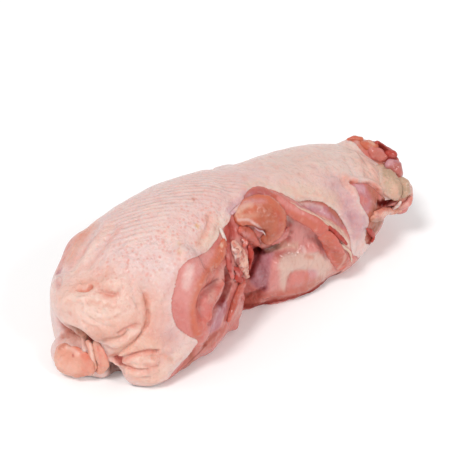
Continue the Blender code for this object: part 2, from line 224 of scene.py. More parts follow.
# Colour laid on the skin: tint, half width, softness, strength, places.
SKIN_DABS = (
    # The back and the shoulder.
    ("skin_rose", 18, 16, 0.8, ((205, 185), (240, 172), (285, 168))),
    ("fascia_and_highlight_white", 14, 12, 0.5, ((146, 218), (168, 196), (198, 180))),
    ("skin_beige", 20, 14, 0.8, ((300, 162), (335, 158), (350, 156))),
    ("skin_rose", 7, 7, 0.6, ((316, 178), (332, 183))),
    # The neck and the folds that hang from it.
    ("skin_beige", 9, 8, 0.9, ((352, 152), (368, 164), (380, 176))),
    ("skin_warm", 6, 7, 0.5, ((366, 165), (373, 176), (382, 190))),
    ("skin_lilac", 9, 8, 1.0, ((338, 192), (350, 205), (360, 222))),
    ("membrane_lilac_and_highlight", 5, 6, 0.5, ((345, 200), (352, 214), (360, 226))),
    ("membrane_purple", 1.8, 3, 0.4, ((345, 203), (348, 210), (350, 218))),
    ("membrane_purple", 2.0, 3, 0.3, ((352, 216), (354, 228), (352, 238))),
    ("skin_warm", 2.5, 2.5, 0.6, ((346, 178), (349, 184), (354, 190))),
    ("slit_orange", 1.2, 1.2, 0.9, ((353, 182), (360, 184), (368, 184), (376, 188), (382, 196))),
    # The skin's edges over the flank and at the hip.
    ("fat_cream_and_highlight", 5, 5, 0.7, ((285, 192), (300, 195), (318, 196), (332, 201))),
    ("fat_cream_and_highlight", 3, 3, 0.6, ((272, 189), (262, 184), (250, 186))),
    ("fat_cream_and_highlight", 4, 4, 0.7, ((222, 222), (216, 233), (206, 245))),
    ("muscle_pink", 0.6, 2.4, 0.8, ((207, 250), (196, 255), (185, 261), (178, 271), (173, 286),
                                    (170, 303))),
    ("muscle_pink", 0.6, 2.4, 0.7, ((170, 303), (171, 316), (176, 327), (187, 336))),
    ("fascia_and_highlight_white", 2, 2, 0.7, ((226, 214), (223, 219))),
    ("membrane_lilac_and_highlight", 2.6, 2, 0.9, ((232, 211), (238, 205), (245, 200), (249, 193))),
    ("skin_warm", 1.4, 2.0, 0.6, ((209, 214), (208, 225), (203, 236), (198, 245))),
    # The tail and its creases.
    ("skin_peach_and_highlight", 18, 14, 0.7, ((80, 300), (110, 310), (125, 320))),
    # Painted light on the middle of the tail mound, and below it a painted highlight on the small bump.
    ("skin_cream_and_highlight", 8, 9, 0.7, ((90, 308), (112, 314))),
    ("skin_cream_and_highlight", 3, 3, 0.7, ((108, 284), (114, 285))),
    ("skin_warm", 4, 5, 0.6, ((98, 335), (110, 336), (122, 330), (134, 324))),
    ("skin_warm", 3, 4, 0.5, ((112, 296), (102, 286), (108, 272))),
    ("skin_warm", 0.9, 1.4, 0.6, ((88, 303), (92, 302), (96, 304), (100, 303))),
    ("skin_warm", 0.9, 1.4, 0.6, ((104, 306), (108, 305), (112, 308), (117, 307))),
    ("skin_warm", 0.8, 1.6, 0.5, ((84, 322), (90, 326), (97, 328))),
    ("skin_warm", 0.9, 1.6, 0.5, ((100, 320), (110, 319), (120, 315))),
    ("skin_cream_and_highlight", 1.4, 1.6, 0.6, ((64, 300), (72, 297), (80, 299), (88, 297))),
    ("slit_orange", 0.7, 0.9, 1.0, ((79, 290), (84, 290.5), (88, 289.5), (92, 287))),
    ("skin_warm", 2.4, 2.4, 0.6, ((76, 288), (86, 285), (94, 284))),
    # Painted shadow along the foot of the bump.
    ("skin_blush_and_shade", 0.9, 1.2, 0.6, ((97, 291), (104, 293), (111, 295), (118, 293))),
    ("skin_blush_and_shade", 1.0, 1.4, 0.9, ((145, 296), (147, 310), (147, 322), (141, 332), (131, 344),
                                   (118, 353), (109, 357))),
    ("skin_warm", 2.0, 3.0, 0.85, ((146, 300), (147, 322), (133, 340), (116, 352))),
    ("skin_blush_and_shade", 0.8, 1.0, 0.6, ((119, 333), (129, 327), (138, 325))),
    ("skin_cream_and_highlight", 1.4, 1.4, 0.7, ((128, 333), (134, 330), (138, 328))),
    ("skin_warm", 1.0, 1.2, 0.7, ((103, 341), (116, 339), (126, 333))),
    # The hollow over the vent, darkened with painted shade, and the gap beside the flap, painted dark as
    # shade.
    ("skin_warm", 3, 4, 0.7, ((64, 336), (76, 338), (90, 343))),
    ("muscle_brown_and_shade", 4.0, 3.4, 0.85, ((68, 331), (76, 334), (84, 337), (90, 341))),
    ("olive_brown", 2.2, 2.4, 1.0, ((69, 329), (77, 332), (85, 337), (91, 342))),
    ("olive_brown", 2.0, 3.0, 0.3, ((97, 334), (102, 335))),
    ("dark_red", 3.6, 2.0, 0.95, ((109, 368), (114, 370), (118, 373))),
    # Between the tail and the hip.
    ("skin_warm", 5, 6, 0.5, ((152, 300), (154, 322), (150, 340))),
    ("skin_rose", 7, 7, 0.8, ((170, 300), (167, 322), (163, 342))),
    ("skin_warm", 3, 5, 0.35, ((158, 305), (157, 322), (152, 338))),
    ("skin_lilac", 3, 4, 0.8, ((170, 336), (167, 348), (168, 360))),
    # The flap beside the vent.
    ("skin_warm", 5, 6, 0.5, ((140, 347), (156, 345), (165, 345))),
    ("skin_peach_and_highlight", 10, 8, 0.9, ((130, 360), (150, 374))),
    ("skin_cream_and_highlight", 1.6, 3, 0.6, ((135, 358), (150, 360))),
    ("skin_peach_and_highlight", 3, 4, 0.8, ((126, 352), (140, 347), (154, 346))),
    ("skin_cream_and_highlight", 2.6, 3, 0.7, ((166, 370), (170, 364), (176, 356), (186, 348))),
    ("skin_blush_and_shade", 1.0, 1.4, 0.9, ((114, 359), (124, 359), (131, 356), (140, 353), (156, 352))),
    ("skin_blush_and_shade", 1.0, 1.4, 0.9, ((117, 362), (122, 365), (130, 368), (138, 371), (148, 372))),
    ("skin_warm", 0.9, 1.4, 0.7, ((152, 357), (162, 355), (172, 360))),
    ("skin_blush_and_shade", 1.8, 2.0, 0.6, ((148, 368), (155, 367))),
    # Painted shade in the small hole beside the flap.
    ("muscle_red_and_shade", 1.6, 1.4, 0.9, ((117, 360), (120, 364))),
    # The left side, where flesh shows through, and its stripes.
    ("muscle_coral", 5.0, 4.0, 0.8, ((61, 262), (69, 247), (81, 233), (93, 220), (105, 209))),
    ("skin_warm", 4.5, 4, 0.9, ((70, 256), (78, 243), (88, 229), (98, 217))),
    ("membrane_purple", 1.4, 1.6, 0.9, ((56, 273), (60, 270))),
    ("membrane_purple", 1.2, 1.8, 0.5, ((57, 280), (58, 288))),
    ("skin_blush_and_shade", 1.6, 2.5, 0.45, ((70, 266), (84, 250), (98, 236), (110, 226))),
    ("skin_cream_and_highlight", 2.0, 2.5, 0.7, ((74, 270), (88, 254), (99, 240), (111, 224))),
    ("skin_blush_and_shade", 1.4, 2.5, 0.4, ((88, 266), (100, 252), (112, 238), (120, 228))),
    # Single spots.
    ("muscle_coral", 0.9, 1.0, 0.8, ((61, 322), (62, 326))),
    ("muscle_coral", 0.8, 1.0, 0.6, ((70, 313), (71, 314))),
    ("muscle_brown_and_shade", 0.7, 0.6, 0.9, ((193.6, 198), (194, 199))),
    ("follicle_yellow", 0.9, 0.8, 0.9, ((197, 225.5), (198, 226.5))),
    ("follicle_yellow", 0.8, 0.8, 0.7, ((179, 243), (180, 245))),
    ("follicle_yellow", 1.0, 1.2, 0.6, ((179, 251), (180, 253))),
    ("muscle_brown_and_shade", 0.4, 0.5, 0.7, ((270, 157), (270.5, 157))),
    ("muscle_brown_and_shade", 0.4, 0.5, 0.7, ((299.5, 174), (300, 174.5))),
)

# Where the skin has creases, dots and pits: half width, softness, places.
SKIN_MASKS = {
    "ridged": (13, 12, ((215, 180), (180, 190), (150, 205), (130, 225))),
    "dotted": (12, 11, ((112, 272), (135, 262), (160, 248), (180, 235), (203, 213))),
    "pitted": (10, 8, ((75, 300), (100, 312), (125, 312))),
}

# Lines worked into the flesh, as for the skin.
FLESH_FORMS = (
    # The hip's hollow and ridges, the gap behind it and the meat below.
    (-2.6, 2.2, ((217, 282), (210, 288), (203, 297), (201, 308), (204, 319))),
    (1.2, 1.8, ((219, 252), (213, 262), (204, 277), (198, 291), (194, 306), (194, 320), (198, 333))),
    (1.4, 1.7, ((222, 284), (216, 294), (211, 306), (209, 318))),
    (-3.0, 1.6, ((228, 270), (228, 284), (224, 297), (217, 309), (211, 322))),
    (-1.5, 1.2, ((205, 345), (211, 338), (222, 330))),
    (0.9, 2.4, ((212, 346), (220, 338), (226, 326))),
    (-1.2, 1.3, ((194, 350), (188, 360), (178, 372))),
    # The gaps under the socket and beside the bone.
    (-2.2, 1.1, ((253, 252), (262, 251), (272, 248), (281, 244), (289, 239))),
    (-3.0, 1.8, ((256, 251), (255, 258), (252, 266), (249, 275))),
    # The wall of the ribs.
    (-0.8, 1.2, ((288, 290), (289, 280), (293, 273), (302, 270), (315, 272))),
    (0.9, 2.6, ((296, 281), (305, 279))),
    (-0.9, 1.0, ((243, 297), (250, 294), (257, 292), (264, 288))),
    (0.9, 1.4, ((262, 297), (285, 293), (305, 290), (320, 280))),
    (0.9, 1.5, ((270, 252), (282, 247), (293, 246))),
    (-0.7, 1.0, ((306, 257), (314, 255), (322, 253))),
    # The flank over it, and the dips round the socket.
    (-0.5, 2.0, ((300, 205), (318, 207), (334, 214), (343, 225))),
    (0.8, 1.5, ((298, 211), (314, 218), (328, 227), (342, 240))),
    (-1.6, 2.2, ((231, 223), (234, 230), (233, 238))),
    (-1.8, 1.2, ((286, 214), (289, 222), (291, 232))),
    (-1.2, 1.6, ((318, 236), (322, 246), (328, 258))),
)

# Areas of the flesh: tint, softness, strength, outline.
FLESH_AREAS = (
    # The hip.
    ("muscle_pink", 3.0, 1.0, ((216, 250), (206, 254), (190, 261), (181, 268), (176, 283), (172, 300),
                               (173, 315), (178, 326), (192, 338), (192, 325), (189, 310), (190, 295),
                               (196, 280), (207, 265))),
    ("muscle_rose", 5.0, 0.7, ((172, 305), (184, 305), (190, 325), (195, 340), (178, 330))),
    # The hollow beside the bone, and the wall of the ribs.
    ("membrane_purple", 2.4, 0.9, ((255, 253), (266, 250), (273, 251), (273, 262), (270, 275),
                                   (268, 290), (256, 288), (250, 280), (251, 266))),
    ("muscle_pink", 2.5, 0.8, ((272, 260), (281, 262), (282, 285), (271, 292), (268, 280))),
    ("fascia", 3.6, 1.0, ((281, 257), (300, 251), (320, 252), (328, 258), (332, 268), (322, 282),
                          (312, 288), (300, 291), (284, 292), (280, 275))),
    ("muscle_rose", 2.2, 0.85, ((286, 284), (290, 275), (297, 271), (308, 271), (316, 273),
                                (315, 281), (306, 289), (292, 293), (285, 292))),
    ("muscle_pink", 2.5, 0.85, ((290, 222), (304, 219), (315, 230), (320, 238), (321, 250),
                                (305, 253), (294, 247), (290, 235))),
    ("membrane_lilac_and_highlight", 2.0, 0.45, ((309, 270), (318, 270), (318, 278), (311, 278))),
    ("muscle_rose", 1.6, 0.8, ((244, 298), (262, 293), (284, 293), (276, 303), (240, 306))),
    # The flank's membrane and fat.
    ("muscle_rose", 1.2, 0.5, ((332, 210), (340, 217), (347, 230), (338, 222))),
    ("membrane_purple", 1.8, 0.8, ((296, 203), (310, 203), (321, 204), (334, 211), (341, 219),
                                   (345, 228), (335, 222), (322, 214), (306, 209))),
    ("muscle_rose", 1.2, 0.7, ((299, 202), (321, 202), (320, 205), (306, 207))),
    ("fat_cream_and_highlight", 1.4, 0.9, ((290, 202), (304, 209), (318, 215), (330, 221), (344, 231), (351, 246),
                             (344, 245), (332, 230), (316, 221), (300, 213))),
    # Beside the socket, and below the hip.
    ("muscle_red_and_shade", 1.2, 0.9, ((224, 229), (231, 220), (237, 231), (234, 242), (226, 242))),
    ("muscle_rose", 1.6, 0.9, ((205, 349), (206, 338), (214, 333), (226, 326), (226, 340), (214, 352))),
    ("membrane_purple", 1.6, 0.9, ((226, 300), (218, 312), (211, 326), (209, 333), (216, 331),
                                   (224, 318), (228, 306))),
    ("olive_brown", 1.6, 0.7, ((192, 352), (190, 362), (184, 372), (172, 378), (170, 388), (196, 380))),
)

# Strokes of colour on the flesh, as for the skin.
FLESH_DABS = (
    # The hip.
    ("muscle_orange", 2.0, 2.0, 0.95, ((219, 250), (214, 262), (206, 275), (199, 290), (195, 306),
                                       (194, 320), (197, 335))),
    ("muscle_coral", 2.0, 1.8, 0.9, ((222, 262), (214, 275), (206, 288), (200, 302), (199, 316),
                                     (204, 328))),
    ("muscle_rose", 2.2, 2.4, 0.7, ((216, 285), (209, 292), (205, 301), (204, 313))),
    # Painted shade along the edge of the hip's hollow.
    ("deep_red", 0.5, 1.0, 0.8, ((219, 279), (212, 284), (204, 290), (199, 298), (197, 307))),
    ("muscle_coral", 2.0, 1.6, 0.95, ((224, 284), (217, 296), (212, 308), (209, 320))),
    # Painted highlight: a gloss line on the muscle in the hollow.
    ("skin_peach_and_highlight", 0.3, 0.9, 0.5, ((215, 290), (211, 295), (208, 301))),
    # Painted highlight where the hip's bulge shines.
    ("fascia_and_highlight_white", 1.8, 2.4, 0.6, ((190, 268), (188, 277), (186, 286))),
    # The meat below the hip, with painted shadow along its lower edge, and the gap behind it, painted dark
    # as shade.
    ("muscle_brown_and_shade", 5.0, 4.0, 0.55, ((206, 346), (196, 357), (184, 369), (174, 383))),
    ("muscle_brown_and_shade", 3.5, 3.0, 0.4, ((208, 342), (222, 332))),
    # Painted shadow: dark lines along the meat's lower edge.
    ("deep_red", 0.7, 1.0, 0.7, ((206, 346), (198, 354), (190, 362), (180, 373))),
    ("deep_red", 1.3, 1.2, 0.9, ((168, 388), (180, 379), (196, 366), (212, 356))),
    # Painted shade in the gap behind the hip.
    ("deep_red", 1.6, 1.6, 0.8, ((230, 276), (229, 288), (225, 298), (222, 306))),
    ("deep_red", 0.9, 0.9, 0.7, ((232, 284), (229, 293), (225, 301))),
    # Painted highlight on the membrane behind the hip.
    ("membrane_lilac_and_highlight", 0.8, 1.2, 0.5, ((221, 308), (216, 318), (213, 327))),
    ("muscle_pink", 0.7, 0.9, 0.8, ((226, 278), (221, 290), (216, 303), (211, 316))),
    ("muscle_red_and_shade", 0.5, 0.7, 0.9, ((229, 279), (225, 291), (220, 303), (214, 316), (209, 326))),
    # The gaps beside the bone and under the socket, painted dark as shade, and a painted highlight on the
    # membrane.
    ("deep_red", 1.8, 1.6, 0.9, ((256, 250), (255, 258), (252, 266), (249, 276))),
    ("dark_red", 1.3, 1.2, 1.0, ((253, 253), (262, 252), (270, 250), (278, 246))),
    ("membrane_lilac_and_highlight", 3.0, 3.0, 0.4, ((262, 262), (265, 270), (262, 280))),
    # Painted highlight on the membrane of the rib wall.
    ("membrane_lilac_and_highlight", 0.9, 1.4, 0.8, ((257, 274), (262, 279))),
    ("fascia_and_highlight_white", 0.5, 0.8, 0.7, ((271, 250), (274, 249))),
    # The wall of the ribs, with a painted highlight, and its lower edge, where the red underside is
    # darkened with painted shade.
    # Painted highlight on the rib wall's muscle.
    ("fascia_and_highlight_white", 0.9, 1.4, 0.7, ((303, 248), (305, 251))),
    ("fascia_and_highlight_white", 0.9, 1.2, 0.8, ((284, 214), (288, 218), (292, 223))),
    ("fat_cream_and_highlight", 0.8, 1.8, 0.6, ((268, 251), (278, 248), (288, 245), (298, 247))),
    ("skin_peach_and_highlight", 1.8, 2.6, 0.6, ((281, 245), (288, 246), (296, 246))),
    ("muscle_orange", 1.0, 1.4, 0.6, ((307, 256), (313, 258))),
    ("muscle_orange", 1.2, 1.6, 0.5, ((306, 277), (305, 284))),
    ("deep_red", 0.7, 1.4, 0.8, ((245, 297), (252, 294), (264, 289))),
    # Red flesh of the underside by the table, darkened with painted shade.
    ("deep_red", 1.6, 1.0, 1.0, ((246, 306), (262, 304), (285, 299), (306, 294), (322, 284), (330, 278))),
    ("muscle_red_and_shade", 2.0, 3.0, 0.5, ((236, 301), (262, 300), (285, 296), (306, 290), (320, 281))),
    ("dark_red", 1.0, 1.0, 0.9, ((326, 280), (332, 277), (340, 272))),
    ("muscle_coral", 2.4, 2.0, 0.9, ((340, 268), (348, 262), (352, 258))),
    # The flank.
    ("muscle_brown_and_shade", 0.9, 1.2, 0.5, ((283, 216), (288, 226), (290, 234))),
    ("membrane_grey", 1.4, 2.0, 0.6, ((322, 238), (323, 248), (328, 258))),
    ("membrane_lilac_and_highlight", 1.4, 2.4, 0.7, ((308, 206), (318, 209), (328, 215))),
    ("fascia_and_highlight_white", 0.7, 1.6, 0.6, ((300, 203), (312, 204), (322, 208))),
    ("muscle_brown_and_shade", 0.7, 1.0, 0.9, ((298, 201), (310, 201), (322, 203), (333, 209), (341, 217))),
    ("membrane_purple", 1.4, 2.0, 0.8, ((330, 210), (338, 216), (343, 222))),
    ("muscle_brown_and_shade", 1.4, 1.8, 0.9, ((331, 210), (338, 216), (343, 223))),
    # Painted shade along the underside by the table.
    ("muscle_brown_and_shade", 3.0, 3.0, 0.5, ((246, 300), (270, 297), (300, 290), (318, 281))),
    ("skin_cream_and_highlight", 0.9, 2.0, 0.6, ((343, 232), (347, 240), (350, 248))),
    # The neck.
    ("muscle_orange", 3.2, 1.6, 1.0, ((346, 140), (353, 138), (362, 139), (365, 142))),
    ("muscle_orange", 3.0, 2.0, 0.9, ((364, 145), (370, 146), (376, 149))),
    ("muscle_coral", 3.0, 2.0, 0.95, ((374, 152), (380, 155), (384, 157))),
    ("deep_red", 1.6, 1.4, 1.0, ((372, 141), (378, 145), (384, 149))),
    ("deep_red", 4.0, 2.0, 1.0, ((388, 152), (391, 156), (388, 160))),
    ("muscle_brown_and_shade", 1.6, 1.6, 0.6, ((378, 163), (381, 165))),
    ("fat_yellow", 7.0, 4.0, 1.0, ((386, 176), (392, 186), (402, 188))),
    ("fat_cream_and_highlight", 3.0, 3.0, 0.8, ((408, 180), (410, 190))),
    ("membrane_purple", 4.0, 3.0, 0.8, ((360, 188), (366, 196), (368, 206))),
    ("membrane_lilac_and_highlight", 2.0, 2.0, 0.8, ((358, 187), (363, 189))),
    ("muscle_rose", 2.0, 2.0, 0.9, ((362, 199), (365, 201))),
    ("muscle_brown_and_shade", 4.0, 3.0, 0.85, ((372, 190), (376, 198), (374, 206))),
    # Painted shade in the opening under the neck's fat.
    ("dark_red", 2.6, 1.4, 1.0, ((379, 206), (384, 205), (388, 203), (393, 201))),
    ("dark_red", 2.2, 1.4, 1.0, ((379, 205), (384, 204), (388, 202))),
    ("muscle_red_and_shade", 1.2, 1.2, 0.9, ((378, 209), (385, 208))),
    ("muscle_pink", 2.6, 2.0, 0.9, ((376, 214), (386, 213), (394, 210), (404, 206))),
    # Painted shade in the crease under the neck's lower flap.
    ("muscle_red_and_shade", 0.8, 0.8, 0.9, ((368, 215), (373, 212), (378, 210))),
    # Painted shadow on the body under the neck: brown above, deep red below.
    ("muscle_brown_and_shade", 7.0, 2.0, 1.0, ((374, 220), (378, 222), (372, 232), (369, 240))),
    ("olive_brown", 4.0, 3.0, 0.9, ((376, 217), (380, 220), (376, 228))),
    ("deep_red", 2.4, 2.0, 0.9, ((370, 234), (372, 239), (368, 245))),
)

# Strips and lumps laid on the flesh: what they are, tint, lift of the middle above the body, and
# places with half width and half thickness; then strokes of colour on the piece itself.
STRIPS = {
    "flank_strip": (
        "muscle", "muscle_coral", 0.7,
        (((247, 200), 2.4, 1.0), ((253, 194), 3.0, 1.3), ((261, 192), 2.8, 1.3),
         ((270, 196), 2.6, 1.3), ((280, 203), 3.0, 1.3), ((291, 210), 3.2, 1.4),
         ((303, 217), 3.2, 1.4), ((314, 223), 3.4, 1.3), ((322, 230), 3.8, 1.3)),
        (("muscle_brown_and_shade", 3.4, 2.4, 0.9, ((249, 198), (258, 193), (268, 195))),
         ("membrane_purple", 2.6, 2.4, 0.5, ((248, 198), (257, 193), (266, 194))),
         ("membrane_purple", 1.0, 1.2, 0.6, ((249, 196), (253, 192))),
         ("muscle_red_and_shade", 2.0, 2.0, 0.4, ((256, 193), (264, 193), (272, 198))),
         ("muscle_red_and_shade", 1.0, 1.2, 0.6, ((262, 199), (271, 201), (279, 209), (288, 216))),
         ("muscle_pink", 1.6, 1.6, 0.8, ((281, 200), (290, 206), (302, 213))),
         ("muscle_orange", 1.6, 1.8, 0.6, ((292, 214), (304, 220), (316, 227))),
         ("muscle_pink", 0.8, 1.2, 0.5, ((296, 209), (306, 214), (316, 221)))),
    ),
    "strip_end": (
        "muscle", "muscle_coral", 0.8,
        (((323, 233), 3.4, 1.3), ((329, 239), 4.8, 1.6), ((334, 248), 5.2, 1.7),
         ((338, 257), 4.6, 1.5), ((341, 265), 3.2, 1.2)),
        (("muscle_pink", 1.0, 1.0, 0.7, ((320, 232), (324, 229), (328, 226))),
         ("muscle_orange", 2.4, 2.0, 0.6, ((327, 238), (331, 247))),
         ("muscle_brown_and_shade", 3.0, 2.4, 0.6, ((338, 256), (344, 262))),
         ("muscle_red_and_shade", 1.0, 1.2, 0.6, ((333, 250), (336, 252))),
         ("fascia", 0.7, 1.0, 0.6, ((337, 270), (343, 263), (346, 254)))),
    ),
    "strip_rim": (
        "muscle", "muscle_red_and_shade", 1.6,
        (((327, 227), 0.9, 0.8), ((332, 231), 1.5, 1.0), ((337, 236), 1.4, 1.0), ((344, 243), 0.8, 0.7)),
        (("deep_red", 0.6, 0.8, 0.8, ((329, 229), (336, 237))),),
    ),
    "strip_fold": (
        "fat", "fat_cream_and_highlight", 1.0,
        (((339, 243), 0.7, 0.6), ((344, 247), 0.9, 0.7), ((349, 252), 0.9, 0.7), ((350, 260), 0.7, 0.6)),
        (("muscle_pink", 0.8, 1.0, 0.6, ((345, 250), (349, 256))),),
    ),
    "flesh_fold": (
        "muscle", "muscle_rose", 0.6,
        (((272, 243), 1.2, 1.0), ((279, 238), 2.2, 1.4), ((284, 233), 2.4, 1.4), ((287, 228), 1.4, 1.0)),
        (("muscle_pink", 0.9, 1.0, 0.8, ((273, 243), (281, 240), (289, 237))),
         ("muscle_red_and_shade", 1.0, 1.2, 0.7, ((274, 238), (279, 232), (284, 226)))),
    ),
    "hip_tongue": (
        "muscle", "muscle_orange", 0.4,
        (((223, 240), 1.2, 0.9), ((222, 248), 2.6, 1.3), ((219, 257), 2.6, 1.2), ((214, 266), 1.8, 0.9)),
        (("fat_cream_and_highlight", 0.7, 0.8, 0.6, ((219, 241), (222, 246))),
         ("muscle_red_and_shade", 0.9, 1.0, 0.7, ((226, 248), (226, 258)))),
    ),
    "hip_side_meat": (
        "muscle", "muscle_rose", 0.2,
        (((227, 245), 1.0, 0.8), ((227, 256), 1.6, 1.0), ((230, 267), 1.8, 1.1), ((232, 277), 1.2, 0.9)),
        # Red meat in the gap behind the hip, darkened further with painted shade.
        (("muscle_red_and_shade", 1.6, 1.4, 0.8, ((227, 246), (228, 256), (230, 270))),
         ("deep_red", 0.5, 0.8, 0.8, ((230, 250), (231, 262)))),
    ),
    "white_flap": (
        "fat", "fascia_and_highlight_white", 0.6,
        (((219, 228), 0.6, 0.5), ((221, 232), 1.1, 0.5), ((223, 237), 1.1, 0.5), ((225, 241), 0.6, 0.5)),
        (("membrane_lilac_and_highlight", 0.8, 0.8, 0.8, ((220, 233), (223, 239))),),
    ),
    "drum_strip": (
        "muscle", "muscle_coral", 0.9,
        (((241, 283), 2.3, 1.4), ((238, 291), 2.7, 1.7), ((234, 300), 2.3, 1.5), ((230, 311), 1.9, 1.3),
         ((227, 320), 1.1, 0.9)),
        (("muscle_brown_and_shade", 1.8, 1.8, 0.7, ((240, 284), (236, 296), (232, 308))),
         ("muscle_red_and_shade", 2.4, 2.0, 0.5, ((240, 284), (236, 296), (232, 308))),
         # Painted highlight on the strip.
         ("fascia_and_highlight_white", 0.6, 0.8, 0.8, ((231, 302), (229, 308))),
         ("muscle_red_and_shade", 0.9, 1.0, 0.7, ((235, 286), (231, 298)))),
    ),
    "vent_lobe": (
        "skin", "skin_warm", 0.0,
        (((64, 350), 4.4, 2.6), ((65, 361), 6.0, 3.2), ((76, 362), 7.6, 3.0), ((87, 364), 6.0, 2.6)),
        (("skin_blush_and_shade", 1.6, 3.0, 0.5, ((86, 352), (88, 362), (84, 372))),
         ("skin_peach_and_highlight", 2.4, 4.0, 0.5, ((57, 360), (62, 366), (74, 369))),
         ("muscle_brown_and_shade", 0.9, 1.6, 0.5, ((55, 366), (66, 373), (82, 376))),
         ("slit_orange", 2.8, 2.4, 0.75, ((77, 347), (83, 350), (86, 356))),
         # Painted highlight along the lobe's upper edge.
         ("skin_cream_and_highlight", 1.0, 1.4, 0.7, ((68, 347), (74, 350), (78, 354))),
         ("muscle_brown_and_shade", 0.9, 1.2, 0.6, ((60, 348), (66, 344), (72, 343))),
         ("muscle_red_and_shade", 0.5, 0.6, 0.9, ((73, 355), (73, 356)))),
    ),
    "vent_strip": (
        "skin", "skin_warm", 0.7,
        (((88, 341), 1.2, 0.9), ((91, 348), 1.8, 1.1), ((93, 357), 1.6, 1.1), ((95, 365), 1.6, 1.0),
         ((90, 372), 1.9, 1.1)),
        (("skin_cream_and_highlight", 0.7, 1.0, 0.8, ((90, 344), (92, 356), (93, 366))),
         ("skin_peach_and_highlight", 1.2, 1.0, 0.7, ((92, 366), (88, 373)))),
    ),
    "vent_fold": (
        "skin", "skin_warm", 0.2,
        (((96, 342), 1.6, 0.8), ((99, 350), 2.8, 1.1), ((102, 358), 3.4, 1.1), ((103, 366), 3.0, 0.9),
         ((99, 372), 1.6, 0.7)),
        (("skin_peach_and_highlight", 0.9, 1.0, 0.7, ((96, 344), (103, 349), (107, 356))),
         ("skin_blush_and_shade", 0.8, 1.0, 0.8, ((101, 346), (105, 352), (107, 358))),
         ("skin_blush_and_shade", 0.7, 1.0, 0.9, ((97, 346), (100, 356), (100, 368)))),
    ),
    "neck_fat": (
        "fat", "fat_yellow", -0.3,
        (((381, 168), 3.4, 1.6), ((386, 175), 4.4, 2.3), ((390, 184), 6.0, 2.6), ((394, 190), 5.6, 2.9),
         ((397, 195), 3.6, 2.0)),
        (("skin_beige", 1.6, 2.4, 0.8, ((378, 168), (380, 178), (383, 189), (388, 198))),
         ("fat_cream_and_highlight", 2.0, 2.0, 0.5, ((388, 180), (393, 188))),
         ("muscle_brown_and_shade", 1.4, 1.6, 0.5, ((378, 163), (381, 165))),
         ("skin_peach_and_highlight", 2.0, 2.0, 0.5, ((395, 189), (396, 196)))),
    ),
    "neck_fat_tip": (
        "fat", "fat_yellow", 0.3,
        (((401, 182), 3.0, 2.4), ((405, 188), 3.4, 2.6), ((404, 195), 2.2, 1.8)),
        (("membrane_lilac_and_highlight", 1.0, 1.2, 0.7, ((410, 182), (411, 190))),),
    ),
    "neck_bulb": (
        "muscle", "membrane_purple", 0.4,
        (((389, 165), 3.2, 2.2), ((395, 168), 4.2, 3.0), ((398, 174), 3.2, 2.4)),
        (("muscle_brown_and_shade", 4.4, 3.0, 0.8, ((394, 170), (399, 177))),
         ("membrane_lilac_and_highlight", 1.4, 1.6, 0.7, ((387, 164), (391, 163))),
         ("muscle_rose", 1.6, 1.6, 0.7, ((398, 171), (401, 174))),
         ("muscle_brown_and_shade", 1.0, 1.0, 0.8, ((397, 178), (399, 180)))),
    ),
    "neck_meat_dark": (
        "muscle", "muscle_red_and_shade", 0.3,
        (((377, 144), 1.8, 1.4), ((385, 150), 3.2, 2.0), ((391, 155), 3.6, 2.4)),
        (("dark_red", 1.4, 1.4, 0.9, ((380, 146), (386, 150))),
         ("muscle_rose", 1.0, 1.4, 0.5, ((390, 158), (393, 156)))),
    ),
    "neck_meat_pink": (
        "muscle", "muscle_rose", 0.0,
        (((371, 150), 2.4, 1.4), ((377, 154), 4.0, 2.0), ((383, 158), 3.0, 1.6)),
        (("muscle_brown_and_shade", 2.4, 2.0, 0.5, ((374, 152), (382, 157))),),
    ),
    "neck_meat_orange": (
        "muscle", "muscle_orange", 0.0,
        (((362, 143), 2.0, 1.4), ((368, 145), 3.2, 1.8), ((375, 147), 2.4, 1.4)),
        (("fat_cream_and_highlight", 0.8, 1.0, 0.6, ((369, 141), (374, 144))),),
    ),
    "neck_meat_top": (
        "muscle", "muscle_orange", 0.2,
        (((348, 140), 1.2, 1.0), ((354, 139), 2.0, 1.6), ((361, 140), 1.8, 1.5)),
        (("muscle_coral", 1.0, 1.2, 0.6, ((350, 138), (356, 137))),),
    ),
    "neck_lip": (
        "muscle", "skin_warm", 0.6,
        (((374, 214), 1.6, 1.0), ((382, 212), 2.6, 1.6), ((391, 210), 2.6, 1.6), ((400, 209), 2.0, 1.2)),
        (("muscle_coral", 1.4, 1.4, 0.7, ((376, 211), (384, 209), (392, 208))),
         ("skin_peach_and_highlight", 1.0, 1.2, 0.6, ((384, 214), (394, 212), (402, 209)))),
    ),
    "neck_shred_white": (
        "fat", "fascia_and_highlight_white", 0.8,
        (((399, 201), 1.2, 1.0), ((396, 205), 1.5, 1.1), ((391, 209), 1.0, 0.8)),
        (),
    ),
    "neck_shred_pink": (
        "muscle", "muscle_pink", 0.5,
        (((401, 206), 2.4, 1.6), ((407, 203), 2.4, 1.6), ((410, 197), 1.4, 1.0)),
        (("muscle_orange", 0.8, 1.0, 0.7, ((411, 196), (411, 203))),
         ("skin_peach_and_highlight", 1.2, 1.6, 0.6, ((400, 207), (406, 205)))),
    ),
    "neck_low_flap": (
        "muscle", "skin_warm", 0.2,
        (((371, 219), 1.6, 1.0), ((376, 218), 2.4, 1.2), ((380, 217), 2.2, 1.2), ((384, 216), 1.4, 0.9)),
        # Painted shade along the flap's lower edge.
        (("olive_brown", 1.2, 1.4, 0.8, ((370, 220), (375, 221), (381, 220))),
         ("muscle_rose", 1.0, 1.4, 0.8, ((376, 216), (384, 215)))),
    ),
    "neck_red_scrap": (
        "muscle", "muscle_red_and_shade", 0.5,
        (((366, 228), 0.8, 0.6), ((370, 232), 1.6, 0.9), ((373, 236), 1.2, 0.8), ((371, 241), 0.7, 0.6)),
